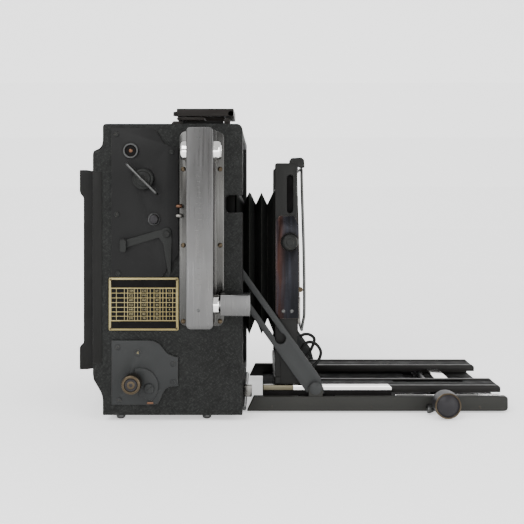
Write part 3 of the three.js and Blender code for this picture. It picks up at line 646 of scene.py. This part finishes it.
def tension_plate():
    line = [(-90, 7.6), (-60.5, 7.6)]
    line += [(-58, 8.4), (-56.6, 10.8), (-55, 14.8), (-53, 18.2), (-50.2, 20), (-44.2, 20.4), (-44.2, 40.2)]
    line += [(-47.4, 40.9), (-51.4, 42.6), (-54, 45.6), (-57, 49.4), (-61, 51.4), (-65, 51.8), (-90, 51.8)]
    window = rod(2.3, -93, -91.2, NUMBER_WINDOW)
    piece("tension_cover", prism(line, PLATE, SKIN), TENSION_GREY, bevel=0.35,
        holes=[window, rod(3.6, -93, -88, TENSION)], replaces=["tension_plate"])
    places = [(-85.6, PLATE, 47.3), (-47.4, PLATE, 35.6), (-47.4, PLATE, 23.4), (-84.7, PLATE, 10.9)]
    screws("tension_screws", places, "-Y", TENSION_GREY, 1.9, 0.8)
    lettering("tension_number", [("4", (-72, -91.35, 43.1))], 3)
    knob = [(0, -79), (2.6, -79), (2.6, -95.2), (4.6, -95.3), (4.6, -97.2), (6.2, -97.5), (6.6, -98),
        (6.6, -105.4), (6.3, -106.4), (5.5, -106.9), (4.7, -106.8), (4.3, -106.2), (3.2, -106.2),
        (2.9, -106.6), (1.4, -106.8), (0, -106.8)]
    piece("tension_grip", lathe(knob, TENSION, 64, ribs=32, rib_depth=0.3, rib_span=(6, 7)), BRONZE,
        "tension", replaces=["tension_knob"])
    disc = [(0, -107), (1, -106.95), (1.5, -106.5), (2.5, -106.5), (3, -106.95), (4, -106.95), (4.4, -106.4),
        (0, -106.3)]
    piece("tension_disc", lathe(disc, TENSION, 48), KNOB, "tension")


# ---- rangefinder
def rangefinder():
    flange = rounded(-43.3, -12.6, 61.7, 195.8, 5, 6)
    piece("flange", prism(flange, PLATE, SKIN), POLISHED, bevel=0.4,
        replaces=["rangefinder_flange"])
    holes = [rod(4.6, -45, -8, (0, -103, 181.7), 32, "X"), rod(4.2, -24, -8, (0, -104.4, 78.2), 32, "X"),
        prism(rounded(-35, -20.7, 64.6, 194.7, 1.5), -111.6, -90)]
    piece("finder_cover", prism(rounded(-36.8, -18.9, 62.6, 196.7, 3, 6), -114, -92.1), ALLOY,
        bevel=1.1, segments=4, holes=holes, replaces=["rangefinder_cover"])
    seam = prism(rounded(-37.3, -17.6, 61.9, 197.2, 3.2, 6), -94.2, -92.2)
    piece("cover_foot", seam, POLISHED, bevel=0.3,
        holes=[prism(rounded(-35, -20.7, 64.6, 194.7, 1.5), -97, -90)])
    for name, a, b, y, z, r in (("rear", -36, -41.3, -103, 181.7, 6.5),
                                ("front", -19.4, -14.1, -103, 181.7, 6.5),
                                ("lower", -19.4, -14.3, -104.4, 78.2, 6.3)):
        out = 1 if b > a else -1
        rim = [(4.7, a), (r, a), (r, b - out * 1.6), (r - 0.5, b - out * 0.5), (r - 1.2, b), (4.9, b),
            (4.7, b - out * 0.8)]
        piece(f"window_{name}", lathe(rim, (0, y, z), 48, "X"), CHROME)
        eye = [(0, b - out * 2.6), (4.7, b - out * 2.4), (4.7, b - out * 1.8), (0, b - out * 1.2)]
        piece(f"glass_{name}", lathe(eye, (0, y, z), 36, "X"), LENS_GLASS)
    tunnel = prism(rounded(-111.6, -97.2, 71, 85.4, 1, 4), -14.1, 5.5, "X")
    inside = prism(rounded(-110.4, -98.4, 72.2, 84.2, 1.2, 5), -20, 8, "X")
    piece("hood", tunnel, ALLOY, bevel=0.3, holes=[inside],
        replaces=["rangefinder_hood"])
    places = [(x, PLATE, z) for x in (-40.6, -15.3) for z in (65, 117.3, 169.6)]
    screws("flange_screws", places, "-Y", BRONZE, 1.7, 0.7)
    screws("cover_screws", [(-28.6, -114, 75.2), (-28.6, -114, 189.6)], "-Y", STEEL, 1.1, 0.35)
    adjuster = [(0, -41), (1.1, -41), (1.4, -41.4), (1.4, -44.6), (1.1, -45.2), (0, -45.3)]
    piece("range_adjuster", lathe(adjuster, (0, -93.6, 144.2), 28, "X"), COPPER)
    piece("range_lock", lathe(adjuster, (0, -93.6, 137.6), 28, "X"), BRIGHT)
    ticks = [block(-29.4 - (1.2 if i % 5 == 0 else 0), -27, -114.06, -113.8, z, z + 0.35) for i,
        z in enumerate([92 + 3.6 * k for k in range(23)])]
    piece("cover_ticks", merge(*ticks), POLISHED)


# ---- folding finder
def top_finder():
    y0, y1 = -62, -18
    base = prism(rounded(-51.7, -9.4, y0, y1, 2, 4), 201.1, 203.2, "Z")
    piece("finder_plate", base, BLACK, bevel=0.3, replaces=["finder_base"])
    ears = []
    for y in (y0 + 1.2, y1 - 1.2):
        ears.append(prism([(-14, 203), (-9.4, 203), (-9.4, 206.4), (-10.4, 207.4), (-13, 207.4),
            (-14, 206.4)], y - 1.2, y + 1.2))
        ears.append(prism([(-51.7, 203), (-44, 203), (-44, 204.6), (-45, 205.4), (-50.4, 205.4),
            (-51.7, 204)], y - 1.2, y + 1.2))
    piece("finder_ears", merge(*ears), BLACK, bevel=0.3)
    piece("finder_core", block(-43.4, -14.6, y0 + 1.4, y1 - 1.4, 203, 205.6), DULL_BLACK,
        bevel=0.3)
    frame_holes = [block(-41, -16, y0 + 6, y1 - 6, 200, 220), block(-43.6, -14, y0 + 4, y1 - 4, 205, 213)]
    piece("front_frame", block(-48, -7, y0, y1, 209, 214.4), BLACK, "finder_front", soft=0.7,
        holes=frame_holes, replaces=["finder_front_frame"])
    piece("front_knuckle", rod(1.9, y0, y1, (-9, 0, 210.8)), BLACK, "finder_front")
    crossed = [block(-41.2, -15.8, -40.3, -39.7, 212.4, 213),
        block(-28.9, -28.3, y0 + 5, y1 - 5, 212.4, 213)]
    piece("front_crosswires", merge(*crossed), BRIGHT, "finder_front")
    tab = prism(arc(-47.6, -40, 5.2, 90, 270, 10), 211.2, 214.2, "Z")
    piece("front_tab", tab, BLACK, "finder_front", bevel=0.4)
    piece("rear_frame", block(-46, -28, y0, y1, 205.9, 208.2), BLACK, "finder_rear",
        bevel=0.35, holes=[block(-43, -31, y0 + 3, y1 - 3, 200, 212)], replaces=["finder_rear_frame"])
    piece("rear_knuckle", rod(1.3, y0, y1, (-46.6, 0, 207.1), 24), BLACK, "finder_rear")


# ---- focusing back
def focusing_back():
    line = [(-103.5, 30), (-103.5, 168.6), (-110, 169.6), (-115, 169.6), (-115, 154.6), (-114.2, 152.6),
        (-112.2, 150), (-112.2, 48), (-114.2, 46), (-115, 44.6), (-115, 29), (-110, 29)]
    piece("back", prism(line, -77, 77), BACK_PAINT, "back", soft=0.6,
        holes=[block(-120, -100, -62, 62, 50, 148), block(-108, -102, -65, 65, 48.5, 149.5),
            block(-120, -109.7, -41, 41, 144, 151)], replaces=["back_frame"])
    door = block(-111.6, -108.6, -61.3, 61.3, 50.8, 147.2)
    piece("hood_panel", door, DULL_BLACK, "hood", soft=0.6, replaces=["hood_door"])
    knuckles = [rod(1.3, a, a + 14.6, (-113.2, 0, 148.2), 24) for a in (-40, -24.6, -7.3, 10, 25.4)]
    leaf = block(-113.4, -111.2, -40, 40, 146, 147.6)
    piece("hood_hinge", merge(*knuckles, leaf), STEEL, "hood", bevel=0.15)
    for name, z in (("upper", 162), ("lower", 36.5)):
        strip = block(-115, -114.4, -72, 72, z - 4.2, z + 4.2)
        piece(f"back_spring_{name}", strip, STEEL, "back", bevel=0.2)
    places = [(-115, y, z) for y in (-70, 70) for z in (162, 36.5)]
    screws("back_screws", places, "-X", STEEL, 1.7, 0.5, "back")


# ---- strap
def hand_strap():
    x, half, steps = -52, 13, 40
    swell = [sin(pi * i / steps) for i in range(steps + 1)]
    line = [(93 + 16 * full ** 0.7, 40 + 120 * (i / steps), full) for i, full in enumerate(swell)]
    bm = bmesh.new()
    rows = []
    across = 9
    for index, (y, z, full) in enumerate(line):
        before, after = line[max(index - 1, 0)], line[min(index + 1, steps)]
        normal = Vector((after[1] - before[1], before[0] - after[0])).normalized()
        row = []
        for side in (0, 1):
            for k in range(across):
                u = -1 + 2 * k / (across - 1)
                thick = 3 * side * (1 - 0.35 * abs(u) ** 6) + (0.45 if side else -0.2) * (1 - u ** 2)
                width = half * (0.96 - 0.06 * full)
                row.append(bm.verts.new((x + u * width, y + normal.x * thick, z + normal.y * thick)))
        rows.append(row)
    rings = [row[:across] + row[:across - 1:-1] for row in rows]
    for lower, upper in zip(rings, rings[1:]):
        wall(bm, lower, upper)
    for row in (rows[0], rows[-1]):
        for k in range(across - 1):
            bm.faces.new((row[k], row[k + 1], row[across + k + 1], row[across + k]))
    piece("strap", faced(bm), STRAP, replaces=["hand_strap"], subdivide=1)
    stitches = []
    for edge in (-1, 1):
        for y, z, _ in line[2:-2]:
            a, b = (Vector((x + edge * 9.8, y + 3.15, z + end)) for end in (-0.9, 0.9))
            stitches.append(tube([a - Vector((0, 0.4, 0.1)), a, b, b - Vector((0, 0.4, -0.1))], 0.22, 6))
    piece("strap_stitches", merge(*stitches), THREAD)
    for name, tip, base, up in (("lower", 28, 39.7, 1), ("upper", 172, 160.3, -1)):
        body = prism([(90.2, tip), (94.6, tip), (96.4, tip + up * 1.6), (96.4, base), (90.2, base)], x - 14,
            x + 14, "X")
        piece(f"anchor_{name}", body, BRIGHT, soft=0.7, replaces=[f"strap_anchor_{name}"])
        heads = [screw_head((x + dx, 96.3, (tip + base) / 2), "Y", 1.9, 30 + dx * 9, 0.6) for dx in (-8, 8)]
        piece(f"anchor_screws_{name}", merge(*heads), STEEL)


# ---- bed
def bed():
    piece("bed_board", block(14, 190, -60, 60, -3, 0.3), DULL_BLACK, "bed", bevel=0.4,
        holes=[block(133.3, 151.3, -55, 55, -0.6, 2)], replaces=["bed_panel"])
    for name, side in SIDES:
        y0, y1 = span(side, 60.3, 66)
        line = [(2.6, -3), (188, -3), (189.5, -2.2), (190, -0.6), (190, 5.6), (189.5, 7), (188, 7.5),
            (7.6, 7.5)]
        relief = block(40, 66, *span(side, 59, 63.4), 4.6, 9)
        piece(f"rail_{name}", prism(line, y0, y1), BED_GREY, "bed", soft=0.6, holes=[relief],
            replaces=[f"bed_rail_{name}"])
        post = prism([(47, 6), (57, 6), (57, 14), (54, 17.1), (50, 17.1), (47, 14)], *span(side, 63.4, 65.6))
        piece(f"brace_post_{name}", post, BED_GREY, "bed", bevel=0.3)
        piece(f"brace_pivot_{name}", rod(2.2, side * 60.3, side * 65.4, BRACE_PIVOT, 32), STEEL, "bed")
        rivet = [(0, 65.3), (4.4, 65.3), (4.5, 65.8), (3.6, 66.5), (1.8, 66.9), (0, 67)]
        piece(f"brace_rivet_{name}", lathe(mirrored(rivet, side), BRACE_PIVOT), BRACE_GREY, "bed")
        places = [(x, side * 66, -0.2 if x > 60 else 0.4) for x in (20, 92, 170)]
        screws(f"rail_screws_{name}", places, "-Y" if side < 0 else "Y", BED_GREY, 1.2, 0.25, "bed")
    for index, (x0, x1, material, slot) in enumerate(((14.4, 36, TINTED, "brass"),
                                                      (36.05, 107.5, CHROME, "chrome"))):
        nose = [(x0, 10.6), (x1, 10.6), (x1, 12.4), (x1 - (2 if index else 0), 14.3), (x0, 14.3)]
        piece(f"guide_bar_{index + 1}", prism(nose, -59.5, -55), material, "bed", soft=0.3,
            replaces=["bed_bar"] if index else ())
    piece("guide_base", block(14.4, 107.2, -59.5, -56, 0.4, 10.7), SLOT_DARK, "bed",
        bevel=0.3)
    piece("body_bar", block(0.3, 6.2, -59.5, -55, 5.8, 14.3), BRIGHT, soft=0.5,
        replaces=["body_bar_end"])
    for index, (x0, x1) in enumerate(((110, 139.4), (145.2, 187))):
        piece(f"front_guide_{index + 1}", block(x0, x1, -58.8, -54.2, 0.3, 7.3), CHROME, "bed",
            bevel=0.3)
    lever = prism([(130.6, -2.8), (132.6, -3), (135.4, -1.8), (135.6, 0.6), (134.6, 1.4), (131, 1.4)], -73,
        -71)
    piece("lock_thumb", lever, STEEL, "track_lock", bevel=0.4, replaces=["track_lock_lever"])
    piece("lock_pin", rod(2.2, -66.3, -71.4, (133, 0, 0)), STEEL, "track_lock")


def track():
    pitch = pi * 0.8
    for name, side in SIDES:
        for place, (a, b) in (("outer", (49.5, 53.5)), ("inner", (26, 30))):
            rail = prism([(24, 7.8), (188, 7.8), (188, 11.4), (186.6, 12.8), (25.4, 12.8), (24, 11.4)],
                *span(side, a, b))
            piece(f"track_{place}_{name}", rail, TRACK_GREY, "track", bevel=0.35,
                replaces=[f"track_rail_{name}"] if place == "outer" else ())
        slab = block(24.6, 187.4, *span(side, 29.8, 49.7), 10.8, 12)
        piece(f"track_slab_{name}", slab, DULL_BLACK, "track", bevel=0.2)
        teeth = [(112, 12), (112, 10.68)]
        x = PINION[0] + pitch * (round((112 - PINION[0]) / pitch) + 0.5)
        while x < 163:
            teeth += [(x - 0.27 * pitch, 10.68), (x - 0.11 * pitch, 9.2), (x + 0.11 * pitch, 9.2),
                (x + 0.27 * pitch, 10.68)]
            x += pitch
        teeth += [(165, 10.68), (165, 12)]
        piece(f"rack_{name}", prism(teeth, *span(side, 30.3, 36)), BRASS, "track")
    bridge = [(148, 7.8), (158.5, 7.8), (158.5, 9.6), (157.6, 10.4), (148.9, 10.4), (148, 9.6)]
    piece("cross_bar", prism(bridge, -25.6, 25.6), CHROME, "track", bevel=0.2,
        replaces=["track_front_bar"])
    piece("rear_bar", block(30, 44, -25.6, 25.6, 7.8, 10.4), TRACK_GREY, "track", bevel=0.4,
        replaces=["track_rear_bar"])
    knob = [(0, -72.4), (5, -72.4), (5, -75.6), (8.4, -76), (9, -76.5), (9.2, -77.4), (9.2, -87),
        (8.9, -87.8), (8.2, -88.1), (7.6, -87.6), (7.2, -87.8), (6, -88.8), (4.2, -89.5), (2.2, -89.9),
        (0, -90)]
    piece("focus_grip", lathe(knob, PINION, 96, ribs=48, rib_depth=0.35, rib_span=(5, 6)), KNOB, "pinion",
        replaces=["focus_knob"])
    rim = [(8, -87.9), (9.05, -87.7), (9.05, -88.2), (8.7, -88.5), (8.1, -88.4)]
    piece("focus_rim", lathe(rim, PINION, 64), BRONZE, "pinion")


def braces():
    start, end = Vector(BRACE_PIVOT[::2]), Vector(BRACE_STUD[::2])
    length = (end - start).length
    angle = atan2(end.y - start.y, end.x - start.x)
    for name, side in SIDES:
        low, high = span(side, 61, 63)
        end = length + 8.4
        shape = [(3.8, -7.2)] + arc(end - 3.4, -3.8, 3.4, -90, 0, 5) + arc(end - 3.4, 3.8, 3.4, 0, 90, 5)
        plate = prism(shape + [(1.1, 7.2), (-7.3, -2.8)], low, high)
        slot = prism(rounded(41.5, length + 4.4, -2.9, 2.9, 2.8, 6), low - 2, high + 2)
        eye = rod(4, low - 2, high + 2, (43.5, 0, 0), 32)
        pivot = rod(2.5, low - 2, high + 2, (0, 0, 0))
        turn = Matrix.Translation(BRACE_PIVOT) @ Matrix.Rotation(-angle, 4, "Y")
        tools = [moved(tool, turn) for tool in (slot, eye, pivot)]
        piece(f"side_brace_{name}", moved(plate, turn), BRACE_GREY, f"link_{name}", soft=0.35, holes=tools,
            replaces=[f"brace_{name}"])


# ---- front standard
def standard():
    x0, x1 = 22.9, 38.9
    for name, side in SIDES:
        y0, y1 = span(side, 53, 58.5)
        holes = [prism(rounded(31.6, 36, 139, 166.6, 2), y0 - 1, y1 + 1)]
        piece(f"upright_{name}", prism(rounded(x0, x1, 20, 175.3, 1.6), y0, y1), STANDARD_GREY, "standard",
            soft=0.5, holes=holes, replaces=["standard_frame"] if side < 0 else ())
        hook = [(33, 171.7), (33.4, 177), (34.8, 179), (42.2, 179.4), (44.2, 177.6), (44.5, 172),
            (41.6, 171.7), (39.4, 172.8), (37.4, 174), (35, 173.6)]
        piece(f"top_hook_{name}", prism(hook, *span(side, 53.4, 58)), STANDARD_GREY, "standard", soft=0.6)
        plate = [(23.4, 62.5), (40.2, 62.5), (40.2, 131), (37, 136.9), (26, 136.9), (23.4, 133)]
        ring = [rod(6.6, *span(side, 50, 70), RISE_KNOB, 40)]
        # the side plates carry the painted reflection and the painted edge highlight
        piece(f"side_plate_{name}", prism(plate, *span(side, 58.4, 60.2)), REFLECTION_PLATE, "standard", soft=0.35,
            holes=ring)
        knob = [(0, 59), (1.8, 59), (1.8, 60.6), (5.3, 60.8), (5.7, 61.3), (5.7, 64.8), (5.3, 65.6),
            (4.6, 65.9), (4.3, 65.4), (2.8, 65.3), (2.5, 65.8), (0, 65.9)]
        piece(f"rise_knob_{name}", lathe(mirrored(knob, side), RISE_KNOB, 64, ribs=28, rib_depth=0.25,
            rib_span=(4, 5)), LEVER_GREY, f"rise_lock_{name}", replaces=[f"lock_knob_{name}"])
        # painted shade: a near-black fill inside the slot stands in for the shade in it
        shade_fill = block(31.2, 36.4, *span(side, 53.2, 54.4), 138, 167.4)
        piece(f"slot_backing_{name}", shade_fill, SLOT_DARK, "standard")
        foot = [(26.6, 15), (41, 15), (41, 34), (39, 36), (28.6, 36), (26.6, 34)]
        piece(f"foot_block_{name}", prism(foot, *span(side, 47, 58.9)), STANDARD_GREY, "standard",
            bevel=0.5)
        screws(f"upright_screws_{name}", [(29, side * 60.2, 68), (35, side * 60.2, 68)], "-Y"
            if side < 0 else "Y", STEEL, 1.3, 0.3, "standard")
        spool = [(0, 55), (1.7, 55), (1.7, 56), (1.1, 56.4), (1.1, 58.8), (1.7, 59.2), (1.7, 59.8),
            (0, 59.8)]
        piece(f"spool_{name}", lathe(mirrored(spool, side), (41.4, 0, 83.4), 28), BRONZE, "standard")
        strip = block(39.6, 41.4, *span(side, 55.6, 58), 59, 78)
        piece(f"wire_guide_{name}", strip, BRIGHT, "standard", bevel=0.4)
    base = prism(rounded(22, 46, -58.4, 58.4, 2), 15, 20, "Z")
    piece("standard_base", base, STANDARD_GREY, "standard", soft=0.5)
    panel = block(24, 36.4, -52.4, 52.4, 44, 158)
    opening = block(22, 38, -44, 44, 57, 145)
    piece("panel_frame", panel, STANDARD_GREY, "lens_rise", soft=0.6, holes=[opening],
        replaces=["lens_panel"])
    board = prism(rounded(-51, 51, 50, 152, 3, 5), 36.6, 40, "X")
    eye = rod(20, 30, 44, LENS, 72, "X")
    piece("board", board, BLACK, "lens_rise", soft=0.6, holes=[eye],
        replaces=["lens_board"])
    bead = [(21.8, 39.9), (23.4, 39.9), (23.2, 40.5), (22, 40.5)]
    piece("board_bead", lathe(bead, LENS, 72, "X"), STEEL, "lens_rise")


def wire_frame():
    x, y, high, low = 42.6, 50, 171.7, 53.4
    side = [(x, low), (x + 1.1, low + 6), (x + 2, low + 15), (x + 1.6, 110), (x + 0.4, 150), (x, high - 5)]
    right = [Vector((a, -y, b)) for a, b in side]
    corner = [Vector((x, -y + 5 - 5 * cos(t), high - 5 + 5 * sin(t))) for t in (0.4, 0.8, 1.2, 1.5)]
    half = curve_through(right, 5) + corner
    whole = half + [Vector((p.x, -p.y, p.z)) for p in reversed(half)]
    piece("wire_frame", tube(whole, 1.05, 14), STEEL, "wire_frame", replaces=["wire_frame_finder"])
    piece("wire_pivot", rod(1.2, -51.4, 51.4, (x, 0, low), 24), STEEL, "wire_frame")


CABLE_POINTS = [(41.8, -45, 47.2), (44.6, -44, 48.8), (49, -43, 48.4), (52.4, -43, 45), (50.4, -43, 38.5),
    (47.2, -43, 33.4), (44.6, -44, 31.4), (42.6, -46, 33.6), (43, -47, 39.2), (47.4, -47, 43.4), (53.2, -47,
    42.2), (56.9, -47, 36.4), (55, -47, 29.8), (50, -48, 25.2), (45.4, -49, 23), (41.6, -50, 22.4)]


def cable():
    line = curve_through(CABLE_POINTS, 8)
    made = piece("cable_loops", tube(line, 1.15, 14), RUBBER, "standard",
        replaces=["release_cable"])
    path = [tuple(ORIGIN + p * MM) for p in line]
    length = sum((Vector(b) - Vector(a)).length for a, b in zip(path, path[1:]))
    return made, path, length


# ---- bellows
def bellows():
    first, last = -77.4, 22.2
    pleats = 11
    depth = 9.5

    def section(x, inset):
        t = (x - first) / (last - first)
        y = 60 + (51 - 60) * t - inset
        low, high = 46.8 + 3.2 * t + inset, 156.3 - 2.3 * t - inset
        cut = 3 + 5.5 * (inset / depth)
        return [(y, low + cut), (y, high - cut), (y - cut, high), (-y + cut, high), (-y, high - cut),
            (-y, low + cut), (-y + cut, low), (y - cut, low)]

    step = (last - first) / (2 * pleats)
    folds = [(first + i * step, depth if i % 2 else 0) for i in range(2 * pleats + 1)]

    def skin(stations, name, bodies, replaces):
        bm = bmesh.new()
        rings = []
        for thickness in (0, 0.7):
            layer = []
            for x, inset in stations:
                corners = section(x, inset + thickness)
                ring = []
                for (a0, b0), (a1, b1) in zip(corners, corners[1:] + corners[:1]):
                    parts = 10 if abs(a1 - a0) + abs(b1 - b0) > 30 else 2
                    for k in range(parts):
                        u = k / parts
                        sag = 0.55 * sin(pi * u) * sin(7 * u + x) if parts > 2 else 0
                        a, b = a0 + (a1 - a0) * u, b0 + (b1 - b0) * u
                        scale = 1 - sag / 60
                        ring.append(bm.verts.new((x, a * scale, 101.5 + (b - 101.5) * scale)))
                layer.append(ring)
            rings.append(layer)
        outer, inner = rings
        for layer in rings:
            for lower, upper in zip(layer, layer[1:]):
                wall(bm, lower, upper)
        wall(bm, outer[0], inner[0])
        wall(bm, outer[-1], inner[-1])
        made = piece(name, faced(bm), BELLOWS, bodies[0], bevel=0.25, smooth_angle=25,
            replaces=replaces)
        made.parent = None
        made.matrix_world = Matrix.Identity(4)
        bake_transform(made)

    cuts = [0, 8, 11, 19, 2 * pleats]
    chain = ("root", "bed", "track", "standard", "lens_rise")
    for index, (*bodies, a, b) in enumerate(zip(chain, chain[1:], cuts, cuts[1:])):
        skin(folds[a:b + 1], f"bellows_{index + 1}", bodies, () if index else ["bellows"])
    frame_line = block(22.4, 23.9, -52, 52, 48, 155)
    piece("bellows_front_frame", frame_line, DULL_BLACK, "lens_rise", bevel=0.3,
        holes=[block(20, 26, -44, 44, 57, 145)])


# ---- light, floor and view
def stage():
    bm = bmesh.new()
    wide, depth, rise = 3, 1.6, 1.8
    line = [(-3, 0), (depth - 0.5, 0)] + [(depth - 0.5 + 0.5 * sin(t), 0.5 - 0.5 * cos(t)) for t in (0.3,
        0.6, 0.9, 1.2, 1.5)] + [(depth, rise)]
    rows = [[bm.verts.new((side * wide, y, z)) for side in (-1, 1)] for y, z in line]
    for lower, upper in zip(rows, rows[1:]):
        bm.faces.new((lower[0], lower[1], upper[1], upper[0]))
    floor = as_object(bm, "floor")
    s = Shader("floor_paper")
    tone = s.mix(s.noise(3), (0.95, 0.95, 0.95, 1), (0.97, 0.97, 0.97, 1))
    s.main.inputs["Emission Color"].default_value = (1, 1, 1, 1)
    s.main.inputs["Emission Strength"].default_value = 0.7
    floor.data.materials.append(s.done(tone, 0.9, specular=0.1))


def area_light(name, place, wide, high, power):
    """A soft light aimed at the camera's middle."""
    data = bpy.data.lights.new(name, "AREA")
    data.shape, data.size, data.size_y, data.energy = "RECTANGLE", wide, high, power
    made = new_object(name, data)
    made.location = Vector(place)
    made.rotation_euler = (Vector((0, 0, 0.1)) - made.location).to_track_quat("-Z", "Y").to_euler()


def lights_and_camera():
    world = bpy.data.worlds.new("studio")
    bpy.context.scene.world = world
    world.use_nodes = True
    world.node_tree.nodes["Background"].inputs["Color"].default_value = (1, 1, 1, 1)
    world.node_tree.nodes["Background"].inputs["Strength"].default_value = 0.95
    area_light("key", (-0.7, -1.3, 1.1), 1.2, 1, 26)
    area_light("fill", (1, -1.1, 0.5), 1, 1, 14)
    area_light("low", (0, -0.9, 0.03), 1.6, 0.3, 6)
    data = bpy.data.cameras.new("view")
    data.lens, data.sensor_width, data.shift_y = 59.8, 36, -0.1145
    data.clip_start = 0.01
    view = new_object("view", data)
    view.location = ORIGIN + Vector((13.5, -690, 147)) * MM
    view.rotation_euler = (radians(90), 0, 0)
    bpy.context.scene.camera = view


lights_and_camera()
cable_piece, cable_path, cable_length = cable()
stage()
case()
shutter_inside()
upper_plate()
winding_key()
release_levers()
speed_table()
tension_plate()
rangefinder()
top_finder()
focusing_back()
hand_strap()
bed()
track()
braces()
standard()
wire_frame()
bellows()
